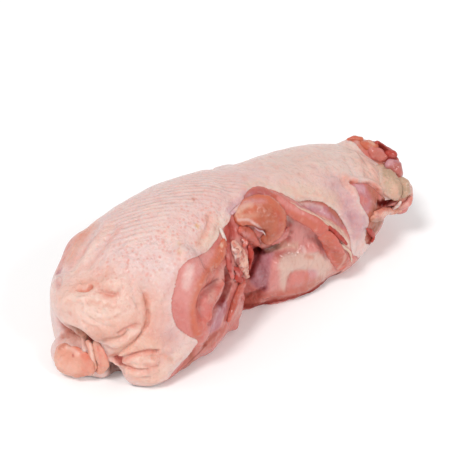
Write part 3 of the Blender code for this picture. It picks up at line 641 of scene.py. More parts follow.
        (("deep_red", 0.7, 1.0, 0.8, ((368, 233), (371, 238))),),
    ),
    "flank_strip_left": (
        "muscle", "muscle_coral", 0.6,
        (((14, 38, 36), 2.2, 1.1), ((26, 38, 32), 3.0, 1.3), ((38, 38, 26), 3.2, 1.4),
         ((46, 37, 21), 4.0, 1.8), ((49, 36, 9), 4.6, 1.6)),
        (),
    ),
    "rib_fat_left": (
        "fat", "fat_cream_and_highlight", 0.4,
        (((8, 33, 28), 1.2, 0.9), ((18, 34, 29), 2.2, 1.3), ((27, 34, 27), 1.4, 1.0)),
        (),
    ),
    "drum_strip_left": (
        "muscle", "muscle_orange", 0.9,
        (((-16, 33, 28), 2.2, 1.4), ((-19, 35, 18), 2.6, 1.6), ((-24, 37, 8), 2.2, 1.4)),
        (),
    ),
}

# The rounded masses of the hip sockets, laid out as the strips are.
SOCKETS = {
    "socket_ball": (
        "muscle", "muscle_orange", 0.4,
        (((239, 219), 4.0, 2.6), ((246, 214), 6.0, 3.6), ((255, 211), 8.0, 4.6), ((265, 212), 8.4, 4.8),
         ((273, 219), 7.2, 4.4), ((274, 229), 6.0, 3.8), ((268, 238), 4.6, 2.8)),
        (("membrane_lilac_and_highlight", 1.4, 2.2, 0.5, ((242, 206), (252, 201), (264, 201))),
         ("fat_cream_and_highlight", 1.4, 1.8, 0.6, ((236, 214), (242, 208), (250, 205))),
         # Painted highlight across the ball's top.
         ("fat_cream_and_highlight", 1.0, 2.4, 0.5, ((240, 216), (252, 216), (262, 213))),
         # Brown flesh on the ball's right, deepened with painted shade.
         ("muscle_brown_and_shade", 4.6, 4.0, 1.0, ((266, 214), (268, 222), (265, 234))),
         ("muscle_red_and_shade", 1.6, 2.4, 0.5, ((276, 212), (281, 220), (279, 232))),
         # Painted shade on the ball's underside.
         ("muscle_brown_and_shade", 3.4, 3.0, 0.8, ((262, 241), (268, 236))),
         ("fascia_and_highlight_white", 0.6, 0.9, 0.8, ((238, 220), (248, 220), (255, 224), (262, 229)))),
    ),
    "socket_ball_left": (
        "muscle", "muscle_orange", -0.5,
        (((-5, 38, 25), 4.0, 2.6), ((1, 38, 29), 6.4, 3.6), ((8, 38, 30), 6.8, 3.8),
         ((13, 38, 23), 5.0, 3.0)),
        (("fat_cream_and_highlight", 1.2, 2.4, 0.5, ((-6, 38, 27), (2, 38, 33), (10, 38, 33))),),
    ),
}

# Torn and cut scraps on the socket and the bone, laid out as the strips are.
SHREDS = {
    "torn_ligament": (
        "fat", "membrane_lilac_and_highlight", 1.6,
        (((254, 226), 0.4, 0.4), ((258, 229), 0.6, 0.4), ((262, 230), 0.6, 0.4), ((264.5, 234), 0.5, 0.4),
         ((266, 241), 0.4, 0.4)),
        (("fascia_and_highlight_white", 0.6, 0.8, 0.7, ((261, 229), (265, 234))),),
    ),
    "socket_meat": (
        "muscle", "muscle_coral", 0.5,
        (((239, 230), 1.8, 1.2), ((245, 232), 3.0, 1.6), ((251, 237), 3.0, 1.5), ((256, 243), 2.0, 1.1)),
        (("muscle_pink", 0.9, 1.0, 0.8, ((244, 233), (249, 236))),
         ("muscle_brown_and_shade", 0.8, 1.0, 0.7, ((243, 228), (250, 231), (256, 236))),
         ("dark_red", 0.8, 0.8, 0.9, ((236, 233), (239, 236)))),
    ),
    "socket_scraps": (
        "muscle", "muscle_coral", 0.9,
        (((242, 240), 1.0, 0.9), ((245, 243), 1.3, 1.0), ((243, 246), 0.9, 0.8)),
        (("fascia_and_highlight_white", 0.5, 0.6, 0.7, ((242, 240), (244, 242))),),
    ),
    "bone_end": (
        "bone", "bone_cream", 0.9,
        (((232, 242), 1.8, 1.2), ((234, 248), 3.2, 1.6), ((238, 255), 4.0, 1.9), ((241, 262), 3.4, 1.7),
         ((244, 269), 2.0, 1.2), ((247, 277), 1.0, 0.8)),
        (("fascia_and_highlight_white", 1.6, 1.6, 0.8, ((231, 246), (233, 253), (237, 260))),
         ("skin_peach_and_highlight", 1.0, 1.2, 0.8, ((244, 262), (247, 268), (248, 276))),
         ("muscle_red_and_shade", 0.7, 0.8, 0.8, ((241, 250), (244, 256))),
         ("marrow", 0.7, 0.6, 1.0, ((237, 248), (239, 249))),
         ("marrow", 1.2, 0.8, 1.0, ((237.5, 260), (238, 264))),
         ("deep_red", 0.5, 0.6, 0.8, ((233, 252), (236, 254), (240, 253))),
         ("muscle_red_and_shade", 1.0, 1.2, 0.7, ((238, 266), (242, 270)))),
    ),
    "bone_crumbs": (
        "bone", "bone_cream", 1.8,
        (((231, 245), 1.2, 0.9), ((236, 249), 1.6, 1.1), ((234, 255), 1.0, 0.9), ((240, 258), 1.5, 1.1),
         ((238, 265), 0.8, 0.7), ((242, 268), 1.2, 0.9), ((245, 275), 0.8, 0.7)),
        (("muscle_rose", 0.6, 0.8, 0.8, ((235, 251), (237, 254))),
         ("marrow", 1.2, 0.8, 0.9, ((237, 260), (239, 264))),
         ("muscle_rose", 0.7, 0.8, 0.8, ((241, 268), (243, 271)))),
    ),
    "bone_flesh": (
        "muscle", "muscle_red_and_shade", 0.6,
        (((248, 247), 1.2, 1.0), ((250, 254), 1.6, 1.2), ((249, 262), 1.3, 1.0), ((248, 268), 0.8, 0.7)),
        (("deep_red", 0.8, 0.8, 0.8, ((250, 260), (250, 263))),),
    ),
    "marrow_lumps": (
        "muscle", "muscle_red_and_shade", 0.9,
        (((233, 268), 1.2, 1.0), ((238, 273), 1.8, 1.3), ((235, 278), 1.2, 1.0), ((241, 280), 1.6, 1.1)),
        (("muscle_pink", 0.7, 0.9, 0.8, ((236, 272), (239, 275))),
         ("fascia_and_highlight_white", 0.4, 0.6, 0.7, ((233, 275), (235, 280)))),
    ),
    "socket_skin_curl": (
        "skin", "membrane_lilac_and_highlight", 0.7,
        (((231, 214), 0.8, 0.6), ((237, 208), 1.2, 0.8), ((244, 203), 1.3, 0.8), ((249, 197), 0.8, 0.6)),
        (("fat_cream_and_highlight", 0.6, 0.8, 0.6, ((235, 210), (242, 204))),),
    ),
}


def srgb(name):
    """A named tint as linear red, green and blue."""
    digits = TINTS[name].lstrip("#")
    parts = [int(digits[i:i + 2], 16) / 255 for i in (0, 2, 4)]
    return np.array([c / 12.92 if c <= 0.04045 else ((c + 0.055) / 1.055) ** 2.4 for c in parts])


def camera_axes():
    """The camera's place, and its right, up and backward directions."""
    turn, height = math.radians(AZIMUTH), math.radians(ELEVATION)
    back = np.array([
        math.sin(turn) * math.cos(height), -math.cos(turn) * math.cos(height), math.sin(height),
    ])
    right = np.cross(-back, (0, 0, 1.0))
    right /= np.linalg.norm(right)
    return np.array(LOOKS_AT) + back * CAMERA_DISTANCE, right, np.cross(right, -back), back


EYE, RIGHT, UP, BACK = camera_axes()
FOCAL_PIXELS = LENS / SENSOR * PHOTO_SIZE


def to_pixels(places):
    """Where places on the body fall in the photograph."""
    seen = places - EYE
    depth = seen @ -BACK
    middle = PHOTO_SIZE / 2
    return np.stack([
        middle + FOCAL_PIXELS * (seen @ RIGHT) / depth, middle - FOCAL_PIXELS * (seen @ UP) / depth,
    ], 1)


def rounded_line(points, closed=False, steps=6):
    """Points along a smooth curve that passes through the given ones."""
    points = [np.array(point, float) for point in points]
    if closed:
        knots = [points[-1], *points, points[0], points[1]]
    else:
        knots = [2 * points[0] - points[1], *points, 2 * points[-1] - points[-2]]
    line = []
    for a, b, c, d in zip(knots, knots[1:], knots[2:], knots[3:]):
        for i in range(steps):
            t = i / steps
            line.append(0.5 * (2 * b + (c - a) * t + (2 * a - 5 * b + 4 * c - d) * t**2
                               + (3 * b - a - 3 * c + d) * t**3))
    if not closed:
        line.append(knots[-2])
    return np.array(line)


def patchy(places, size, seed):
    """Smooth random values from -1 to 1 over patches of a size."""
    spots = places / size
    cells = np.floor(spots).astype(int)
    share = spots - cells
    share = share * share * (3 - 2 * share)
    cells -= cells.min(0)
    lattice = np.random.default_rng(seed).uniform(-1, 1, tuple(cells.max(0) + 2))
    total = np.zeros(len(places))
    for corner in itertools.product((0, 1), repeat=3):
        weight = np.prod(np.where(corner, share, 1 - share), axis=1)
        total += weight * lattice[tuple((cells + corner).T)]
    return total


def ease(value, low, high):
    """0 below low, 1 above high and a smooth step between."""
    share = np.clip((value - low) / (high - low), 0, 1)
    return share * share * (3 - 2 * share)


def outside(spots, outline):
    """How far each flat place is outside a rounded outline; inside is below 0."""
    corners = rounded_line(outline, closed=True, steps=4)
    away = np.full(len(spots), np.inf)
    within = np.zeros(len(spots), bool)
    for a, b in zip(corners, np.roll(corners, -1, 0)):
        run = b - a
        share = np.clip((spots - a) @ run / (run @ run), 0, 1)
        away = np.minimum(away, np.linalg.norm(spots - a - share[:, None] * run, axis=1))
        crosses = (a[1] > spots[:, 1]) != (b[1] > spots[:, 1])
        rise = run[1] if run[1] else 1.0
        within ^= crosses & (spots[:, 0] < a[0] + (spots[:, 1] - a[1]) / rise * run[0])
    return np.where(within, -away, away)


def beyond_windows(places):
    """How far each place is from where the skin is cut away; below 0 is inside a window."""
    spots = to_pixels(places)
    right = outside(spots, LEG_WINDOW) / PIXELS_PER_MM
    right = np.maximum(right, places[:, 1] - SIDE_LIMIT)
    neck = outside(spots, NECK_WINDOW) / PIXELS_PER_MM
    neck = np.maximum(np.maximum(neck, places[:, 1] - 0.5 * SIDE_LIMIT), NECK_STARTS - places[:, 0])
    left = outside(places[:, [0, 2]], LEFT_WINDOW)
    left = np.maximum(left, SIDE_LIMIT - places[:, 1])
    far = FAR_NECK_EDGE - places[:, 0] + 1.5 * patchy(places, 9.0, 5)
    nearest = np.minimum(np.minimum(right, left), np.minimum(neck, far))
    return nearest + EDGE_WOBBLE * patchy(places, 3.0, 6)


class Body:
    """The CAD body, smoothed, which the photograph's places are carried to."""

    tree = None


def seen_at(tree, place, lift=0.0):
    """The point of a surface at a place of either kind, raised along its normal, and the normal."""
    if len(place) == 3:
        spot, normal, _, _ = tree.find_nearest(Vector(place) * MM)
    else:
        x, y = place
        middle = PHOTO_SIZE / 2
        sight = -BACK * FOCAL_PIXELS + RIGHT * (x - middle) + UP * (middle - y)
        spot, normal, _, _ = tree.ray_cast(Vector(EYE * MM), Vector(sight).normalized())
    if spot is None:
        return None
    normal = np.array(normal)
    return np.array(spot) / MM + normal * lift, normal


def drawn_on(tree, points):
    """A smooth line over a surface through places of either kind."""
    hits = [seen_at(tree, place) for place in rounded_line(points)]
    return np.array([hit[0] for hit in hits if hit is not None])


def away_from(places, line, reach):
    """How far each place is from a line, up to a reach."""
    away = np.full(len(places), np.inf)
    if not len(line):
        return away
    near = ((places > line.min(0) - reach) & (places < line.max(0) + reach)).all(1).nonzero()[0]
    spots, best = places[near], np.full(len(near), np.inf)
    for start, stop in zip(line, line[1:]):
        run = stop - start
        if run @ run > LONGEST_STEP**2:
            continue
        share = np.clip((spots - start) @ run / max(run @ run, 1e-9), 0, 1)
        best = np.minimum(best, np.linalg.norm(spots - start - share[:, None] * run, axis=1))
    away[near] = best
    return away


class Surface:
    """A piece's surface while it is worked. Strokes keep to where its points rested at first."""

    def __init__(self, item, tint):
        self.item = item
        self.read()
        self.rest = self.places.copy()
        self.tree = BVHTree.FromObject(item, bpy.context.evaluated_depsgraph_get())
        self.colour = np.tile(srgb(tint), (len(self.places), 1))
        self.masks = {}

    def read(self):
        """Takes the points and normals from the mesh, in millimetres."""
        mesh = self.item.data
        self.places = np.empty(len(mesh.vertices) * 3)
        self.normals = np.empty(len(mesh.vertices) * 3, np.float32)
        mesh.vertices.foreach_get("co", self.places)
        mesh.vertices.foreach_get("normal", self.normals)
        self.places = self.places.reshape(-1, 3) / MM
        self.normals = self.normals.reshape(-1, 3).astype(float)

    def write(self):
        """Puts the moved points back into the mesh."""
        mesh = self.item.data
        mesh.vertices.foreach_set("co", (self.places * MM).ravel())
        mesh.update()
        self.read()

    def move(self, height):
        """Moves each point along its normal."""
        self.places += self.normals * height[:, None]

    def work(self, forms):
        """Raises and presses lines into the surface."""
        total = np.zeros(len(self.places))
        for height, half, points in forms:
            away = away_from(self.rest, drawn_on(self.tree, points), half * 3)
            total += height * np.exp(-((away / half) ** 2))
        self.move(total)

    def cover(self, points, half, soft):
        """How much of each point a stroke covers, with an uneven edge."""
        away = away_from(self.rest, drawn_on(self.tree, points), half + soft + 2)
        wobble = 0.3 * min(half, 3.0) * patchy(self.rest, 2.0, 11) + 0.15 * patchy(self.rest, 0.8, 13)
        share = 1 - ease(away + wobble, half - 0.7 * soft, half + 0.7 * soft)
        return share * (0.85 + 0.15 * patchy(self.rest, 1.6, 14))

    def blend(self, tint, share):
        """Blends a tint in by a share for each point."""
        share = share[:, None]
        self.colour = self.colour * (1 - share) + srgb(tint) * share

    def dab(self, strokes):
        """Lays strokes of colour on."""
        for tint, half, soft, strength, points in strokes:
            self.blend(tint, strength * self.cover(points, half, soft))

    def fill(self, areas):
        """Lays areas of colour on the bird's right side."""
        spots = to_pixels(self.rest)
        facing = ease(self.normals @ BACK, -0.3, 0.1) * (self.rest[:, 1] < SIDE_LIMIT)
        for tint, soft, strength, outline in areas:
            away = outside(spots, outline) / PIXELS_PER_MM + 0.4 * patchy(self.rest, 2.0, 12)
            self.blend(tint, strength * facing * (1 - ease(away, -soft / 2, soft / 2)))

    def mottle(self, tint, size, strength, seed):
        """Blends a tint in, in soft patches."""
        self.blend(tint, strength * ease(patchy(self.places, size, seed), -0.2, 0.8))

    def keep(self):
        """Stores colour and masks on the mesh's points."""
        mesh = self.item.data
        paint = mesh.attributes.new("paint", "FLOAT_COLOR", "POINT")
        paint.data.foreach_set("color", np.column_stack([self.colour, np.ones(len(self.colour))]).ravel())
        for name, mask in self.masks.items():
            mesh.attributes.new(name, "FLOAT", "POINT").data.foreach_set("value", mask)


def choose(*items):
    """Selects some objects alone and makes the first one active."""
    bpy.ops.object.select_all(action="DESELECT")
    for item in items:
        item.select_set(True)
    bpy.context.view_layer.objects.active = items[0]


def apply_modifier(item, kind, **settings):
    """Adds a modifier and applies it at once."""
    choose(item)
    made = item.modifiers.new(kind.lower(), kind)
    for key, value in settings.items():
        setattr(made, key, value)
    bpy.ops.object.modifier_apply(modifier=made.name)


def body_copy(name, grain, smoothing):
    """An even mesh of the CAD body, smoothed over its facets."""
    item = bpy.data.objects.new(name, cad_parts[BODY_NODE].data.copy())
    bpy.context.scene.collection.objects.link(item)
    item.data.materials.clear()
    choose(item)
    bpy.ops.object.mode_set(mode="EDIT")
    bpy.ops.mesh.select_all(action="SELECT")
    bpy.ops.mesh.remove_doubles(threshold=0.01 * MM)
    bpy.ops.object.mode_set(mode="OBJECT")
    apply_modifier(item, "REMESH", mode="VOXEL", voxel_size=grain * MM)
    apply_modifier(item, "SMOOTH", factor=0.5, iterations=smoothing)
    return item


def pick_faces(item, chosen):
    """Selects the faces whose points are all chosen, in edit mode."""
    choose(item)
    mesh = item.data
    corners = np.empty(len(mesh.loops), np.int32)
    mesh.loops.foreach_get("vertex_index", corners)
    starts = np.empty(len(mesh.polygons), np.int32)
    mesh.polygons.foreach_get("loop_start", starts)
    bpy.ops.object.mode_set(mode="EDIT")
    bpy.ops.mesh.select_mode(type="FACE")
    bpy.ops.mesh.select_all(action="DESELECT")
    bpy.ops.object.mode_set(mode="OBJECT")
    mesh.polygons.foreach_set("select", np.logical_and.reduceat(chosen[corners], starts))
    bpy.ops.object.mode_set(mode="EDIT")


def refine(item, chosen):
    """Splits the faces whose points are all chosen."""
    pick_faces(item, chosen)
    bpy.ops.mesh.subdivide(number_cuts=1, smoothness=0.0)
    bpy.ops.object.mode_set(mode="OBJECT")


def joined_lumps(name, lumps, grain, smoothing):
    """One skin round some rounded lumps: each is a centre, a turn as three axes, and radii."""
    parts = []
    for centre, axes, radii in lumps:
        bpy.ops.object.select_all(action="DESELECT")
        bpy.ops.mesh.primitive_uv_sphere_add(
            segments=20, ring_count=12, radius=MM, location=Vector(centre) * MM,
            rotation=Matrix(np.array(axes).T.tolist()).to_euler(), scale=radii,
        )
        bpy.ops.object.transform_apply(location=True, rotation=True, scale=True)
        parts.append(bpy.context.object)
    choose(*parts)
    if len(parts) > 1:
        bpy.ops.object.join()
    item = bpy.context.object
    item.name = name
    item.data.name = name
    apply_modifier(item, "REMESH", mode="VOXEL", voxel_size=grain * MM)
    apply_modifier(item, "SMOOTH", factor=0.5, iterations=smoothing)
    return item


def strip_lumps(stations, lift):
    """Flat lumps one after another along a line over the body."""
    places, normals, widths, thicks = [], [], [], []
    for place, width, thick in stations:
        hit = seen_at(Body.tree, place, lift)
        if hit is None:
            continue
        places.append(hit[0])
        normals.append(hit[1])
        widths.append(width)
        thicks.append(thick)
    line = rounded_line(places, steps=8)
    along = np.linspace(0, len(places) - 1, len(line))
    stops = np.arange(len(places))
    widths, thicks = np.interp(along, stops, widths), np.interp(along, stops, thicks)
    normals = np.stack([np.interp(along, stops, column) for column in np.array(normals).T], 1)
    tangents = np.gradient(line, axis=0)
    lumps = []
    for spot, tangent, normal, width, thick in zip(line, tangents, normals, widths, thicks):
        tangent = tangent / np.linalg.norm(tangent)
        across = np.cross(normal, tangent)
        across /= np.linalg.norm(across)
        axes = (tangent, across, np.cross(tangent, across))
        lumps.append((spot, axes, (max(0.7 * width, thick), width, thick)))
    return lumps


def add_node(tree, kind, settings=()):
    """Adds a node. A setting is a property, or an input given a value or another node's socket."""
    node = tree.nodes.new(f"ShaderNode{kind}")
    for key, value in dict(settings).items():
        if isinstance(key, str) and key not in node.inputs:
            setattr(node, key, value)
        elif isinstance(value, bpy.types.NodeSocket):
            tree.links.new(value, node.inputs[key])
        else:
            node.inputs[key].default_value = value
    return node


class WetFlesh:
    """A material for damp flesh, built up pattern by pattern over the painted colour."""

    def __init__(self, name, roughness, shine, coat, glow):
        self.material = bpy.data.materials.new(name)
        self.material.use_nodes = True
        self.tree = self.material.node_tree
        self.tree.nodes.clear()
        # Light goes in, scatters and comes back out redder.
        self.shader = add_node(self.tree, "BsdfPrincipled", {
            "Roughness": roughness, "Coat Roughness": 0.08, "IOR": 1.4,
            "Subsurface Weight": glow, "Subsurface Scale": 2.5 * MM,
            "Subsurface Radius": (1.0, 0.42, 0.3),
        })
        add_node(self.tree, "OutputMaterial", {"Surface": self.shader.outputs[0]})
        where = add_node(self.tree, "TexCoord").outputs["Object"]
        self.where = add_node(
            self.tree, "VectorMath", {"operation": "SCALE", "Vector": where, "Scale": 1 / MM},
        ).outputs[0]
        paint = add_node(self.tree, "Attribute", {"attribute_name": "paint"})
        self.colour = paint.outputs["Color"]
        self.relief = None
        # The dark gaps between folds reflect flesh and not the room, so they are dull.
        for socket, most in (("Coat Weight", coat), ("Specular IOR Level", shine)):
            share = add_node(self.tree, "MapRange", {
                0: paint.outputs["Fac"], 1: DULL_BELOW, 2: WET_ABOVE, 4: most,
            })
            self.tree.links.new(share.outputs[0], self.shader.inputs[socket])

    def pattern(self, kind, size, low, high, mask=None, stretch=(1, 1, 1), turn=(0, 0, 0), detail=2.0):
        """A pattern of noise, cells or waves of a size, kept between two of its values."""
        mapped = add_node(self.tree, "Mapping", {
            "Vector": self.where, "Rotation": [math.radians(angle) for angle in turn],
            "Scale": [1 / (size * share) for share in stretch],
        }).outputs[0]
        if kind == "cells":
            value = add_node(self.tree, "TexVoronoi", {"Vector": mapped, "Scale": 1.0}).outputs["Distance"]
        elif kind == "waves":
            value = add_node(self.tree, "TexWave", {
                "Vector": mapped, "Scale": math.pi / 10, "Distortion": 2.2, "Detail": detail,
                "Detail Scale": 0.35,
            }).outputs["Fac"]
        else:
            value = add_node(self.tree, "TexNoise", {
                "Vector": mapped, "Scale": 1.0, "Detail": detail,
            }).outputs["Fac"]
        value = add_node(self.tree, "MapRange", {
            "interpolation_type": "SMOOTHSTEP", 0: value, 1: low, 2: high,
        }).outputs[0]
        if mask:
            share = add_node(self.tree, "Attribute", {"attribute_name": mask}).outputs["Fac"]
            value = add_node(self.tree, "Math", {"operation": "MULTIPLY", 0: value, 1: share}).outputs[0]
        return value

    def lay(self, value, tint=None, share=0.0, depth=0.0):
        """Colours a pattern with a tint and gives it a depth in millimetres."""
        if tint:
            amount = add_node(self.tree, "Math", {"operation": "MULTIPLY", 0: value, 1: share}).outputs[0]
            self.colour = add_node(self.tree, "Mix", {
                "data_type": "RGBA", 0: amount, 6: self.colour, 7: (*srgb(tint), 1.0),
            }).outputs[2]
        if depth:
            raised = {"operation": "MULTIPLY_ADD", 0: value, 1: depth, 2: self.relief or 0.0}
            self.relief = add_node(self.tree, "Math", raised).outputs[0]

    def finish(self):
        """Links colour and relief to the shader."""
        self.tree.links.new(self.colour, self.shader.inputs["Base Color"])
        normal = add_node(self.tree, "Bump", {
            "Strength": 1.0, "Distance": MM, "Height": self.relief,
        }).outputs[0]
        self.tree.links.new(normal, self.shader.inputs["Normal"])
        self.tree.links.new(normal, self.shader.inputs["Coat Normal"])
        return self.material


@cache
def skin_material():
    """Raw plucked skin: damp and translucent, with fine creases, follicles and pink dots."""
    skin = WetFlesh("raw_plucked_skin", 0.42, 0.35, 0.35, 0.3)
    skin.lay(skin.pattern("noise", 9.0, 0.45, 0.72, detail=3.0), "skin_cream_and_highlight", 0.35)
    skin.lay(skin.pattern("noise", 5.0, 0.48, 0.72, detail=4.0), "skin_blush_and_shade", 0.2)
    skin.lay(skin.pattern("noise", 2.2, 0.5, 0.72, detail=4.0), "skin_warm", 0.25, -0.12)
    skin.lay(skin.pattern("noise", 4.5, 0.3, 0.7), depth=0.5)
    skin.lay(skin.pattern("noise", 1.1, 0.3, 0.7, detail=4.0), depth=0.15)
    skin.lay(skin.pattern("cells", 2.6, 0.42, 0.1, "dotted"), "follicle", 0.55, 0.1)
    skin.lay(skin.pattern("cells", 3.4, 0.3, 0.08, "dotted"), "skin_blush_and_shade", 0.5)
    skin.lay(skin.pattern("cells", 2.4, 0.4, 0.1, "pitted"), "skin_warm", 0.3, -0.12)
    # Creases run across the back about 2.6 mm apart.
    creases = skin.pattern("waves", 2.6, 0.3, 1.0, "ridged", turn=(0, -20, -50))
    skin.lay(creases, "skin_blush_and_shade", 0.24, -0.2)
    return skin.finish()


@cache
def muscle_material():
    """Raw muscle under thin fascia: wet, finely grained and deep in colour."""
    muscle = WetFlesh("raw_muscle", 0.4, 0.1, 0.85, 0.25)
    grain = muscle.pattern("noise", 1.2, 0.45, 0.8, stretch=(1, 1, 5), detail=3.0)
    muscle.lay(grain, "muscle_red_and_shade", 0.2, 0.1)
    muscle.lay(muscle.pattern("noise", 3.5, 0.52, 0.75, detail=4.0), "fascia_and_highlight_white", 0.15)
    muscle.lay(muscle.pattern("noise", 2.6, 0.3, 0.7, detail=2.0), depth=0.25)
    return muscle.finish()


@cache
def fat_material():
    """Soft raw fat and membrane: cream, wet and lumpy."""
    fat = WetFlesh("raw_fat", 0.4, 0.3, 0.6, 0.35)
    fat.lay(fat.pattern("noise", 2.2, 0.4, 0.7, detail=3.0), "skin_peach_and_highlight", 0.35, 0.25)
    fat.lay(fat.pattern("noise", 0.9, 0.3, 0.7, detail=3.0), depth=0.15)
    return fat.finish()


@cache
def bone_material():
    """The porous end of a cut bone: pale, with red marrow in its pores."""
    bone = WetFlesh("cut_bone_end", 0.45, 0.3, 0.3, 0.25)
    bone.lay(bone.pattern("cells", 2.6, 0.34, 0.1), "marrow", 0.6, -0.25)
    bone.lay(bone.pattern("noise", 2.4, 0.45, 0.65, detail=3.0), "muscle_coral", 0.65)
    bone.lay(bone.pattern("noise", 1.6, 0.45, 0.65, detail=3.0), "fascia_and_highlight_white", 0.2, 0.25)
    return bone.finish()


def table_material():
    """A plain white table that glows a little of itself, as painted light, which keeps shadows pale."""
    material = bpy.data.materials.new("glowing_white_table")
    material.use_nodes = True
    tree = material.node_tree
    tree.nodes.clear()
    where = add_node(tree, "TexCoord").outputs["Object"]
    grain = add_node(tree, "TexNoise", {"Vector": where, "Scale": 400.0}).outputs["Fac"]
    mixed = add_node(tree, "Mix", {
        "data_type": "RGBA", 0: grain, 6: (0.95, 0.95, 0.95, 1.0), 7: (0.97, 0.97, 0.97, 1.0),
    }).outputs[2]
    # The table's own glow is painted light.
    shader = add_node(tree, "BsdfPrincipled", {
        "Base Color": mixed, "Roughness": 0.85, "Specular IOR Level": 0.1,
        "Emission Color": (1.0, 1.0, 1.0, 1.0), "Emission Strength": 0.07,
    })
    add_node(tree, "OutputMaterial", {"Surface": shader.outputs[0]})
    return material


MATERIALS = {
    "skin": ("raw_skin", skin_material),
    "muscle": ("raw_muscle", muscle_material),
    "fat": ("raw_fat", fat_material),
    "bone": ("cut_bone", bone_material),
}


# How uneven a lump of each kind is, coarsely and finely: height, size of its patches, seed.
UNEVENNESS = {
    "skin": ((0.3, 3.0, 41), (0.15, 1.5, 42)),
    "muscle": ((0.3, 3.0, 41), (0.15, 1.5, 42)),
    "fat": ((0.7, 3.6, 45), (0.3, 1.8, 46)),
    "bone": ((0.6, 2.8, 43), (0.25, 1.4, 44)),
}


def declare(item, made_of):
    """Gives a piece its material and smooth shading, hangs it on the root and hides the CAD body."""
    slot, material = MATERIALS[made_of]
    item.data.materials.clear()
    item.data.materials.append(material())
    item.data.shade_smooth()
    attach(item, "root")
    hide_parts(BODY_NODE)


def add_strips(table, grain):
    """Makes every strip of a table."""
    for name, (made_of, tint, lift, stations, strokes) in table.items():
        item = joined_lumps(name, strip_lumps(stations, lift), grain, 3)
        finish_lump(item, made_of, tint, strokes, max(thick for _, _, thick in stations))


def finish_lump(item, made_of, tint, strokes, thick):
    """Thin fat is less uneven than thick."""
    surface = Surface(item, tint)
    coarse, fine = (
        height * patchy(surface.places, size, seed) for height, size, seed in UNEVENNESS[made_of]
    )
    uneven = coarse + fine
    if made_of == "fat":
        uneven *= min(1.0, 0.4 * thick)
    surface.move(uneven)
    surface.write()
    surface.dab(strokes)
    surface.keep()
    declare(item, made_of)


def direction(azimuth, elevation):
    """From the body towards an azimuth and elevation in degrees."""
    turn, height = math.radians(azimuth), math.radians(elevation)
    return Vector((math.sin(turn) * math.cos(height), -math.cos(turn) * math.cos(height), math.sin(height)))


def add_light(name, power, width, towards):
    """Adds a distant light that looks a width in degrees across."""
    light = bpy.data.lights.new(name, "SUN")
    light.energy = power
    light.angle = math.radians(width)
    lamp = bpy.data.objects.new(name, light)
    bpy.context.scene.collection.objects.link(lamp)
    lamp.rotation_euler = (-towards).to_track_quat("-Z", "Y").to_euler()


def trim_edge(surface):
    """Slides the points beside a window's edge onto it, so that the cut is a clean curve."""
    beyond = beyond_windows(surface.places)
    near = (np.abs(beyond) < TRIM_REACH).nonzero()[0]
    spots = surface.places[near]
    step = 0.05
    slope = np.stack([
        (beyond_windows(spots + step * axis) - beyond[near]) / step for axis in np.eye(3)
    ], 1)
    normals = surface.normals[near]
    slope -= normals * (slope * normals).sum(1)[:, None]
    steep = (slope * slope).sum(1)
    shift = -(beyond[near] / np.maximum(steep, 0.3))[:, None] * slope
    surface.places[near] += np.clip(shift, -TRIM_REACH, TRIM_REACH)
    surface.write()


class StageSettings(bpy.types.PropertyGroup):
    """The floor's size and the strengths of the lights."""

    floor_size: FloatProperty(
        name="Floor Size", description="Side of the floor", default=6.0, unit="LENGTH",
    )
    sun_power: FloatProperty(
        name="Key Light", description="Strength of the large soft light", default=1.35,
    )
    side_power: FloatProperty(
        name="Side Light", description="Strength of the light that wet places shine in", default=0.55,
    )
    room_light: FloatProperty(
        name="Room Light", description="Strength of the even white light around", default=0.6,
    )


class SkinSettings(bpy.types.PropertyGroup):
    """How fine the skin is."""

    grain: FloatProperty(
        name="Skin Grain", description="Size of the skin's faces in millimetres", default=1.3,
    )


class FleshSettings(bpy.types.PropertyGroup):
    """How fine the flesh is, and the strips on it."""

    grain: FloatProperty(
        name="Flesh Grain", description="Size of the flesh's faces in millimetres", default=1.35,
    )
    strip_grain: FloatProperty(
        name="Strip Grain", description="Size of a strip's faces in millimetres", default=0.5,
    )


class CHICKEN_OT_stage(bpy.types.Operator):
    """Makes the floor, the lights and the camera."""

    bl_idname = "chicken.stage"
    bl_label = "Floor, Lights and Camera"

    def execute(self, context):
        settings = context.scene.chicken_stage
        bpy.ops.object.select_all(action="DESELECT")
        bpy.ops.mesh.primitive_plane_add(size=settings.floor_size, location=(0, 0, 0))
        floor = context.object
        floor.name = "floor"
        floor.data.materials.append(table_material())

        world = bpy.data.worlds.new("white_room")
        context.scene.world = world
        world.use_nodes = True
        world.node_tree.nodes["Background"].inputs["Color"].default_value = (1, 1, 1, 1)
        world.node_tree.nodes["Background"].inputs["Strength"].default_value = settings.room_light
        add_light("key_light", settings.sun_power, KEY_WIDTH, direction(*KEY_FROM))
        add_light("side_light", settings.side_power, SIDE_WIDTH, direction(*SIDE_FROM))

        camera = bpy.data.cameras.new("camera")
        camera.lens = LENS
        camera.sensor_width = SENSOR
        viewer = bpy.data.objects.new("camera", camera)
        context.scene.collection.objects.link(viewer)
        viewer.location = EYE * MM
        viewer.rotation_euler = Vector(-BACK).to_track_quat("-Z", "Y").to_euler()
        context.scene.camera = viewer
        context.scene.view_settings.view_transform = "Standard"
        return {"FINISHED"}


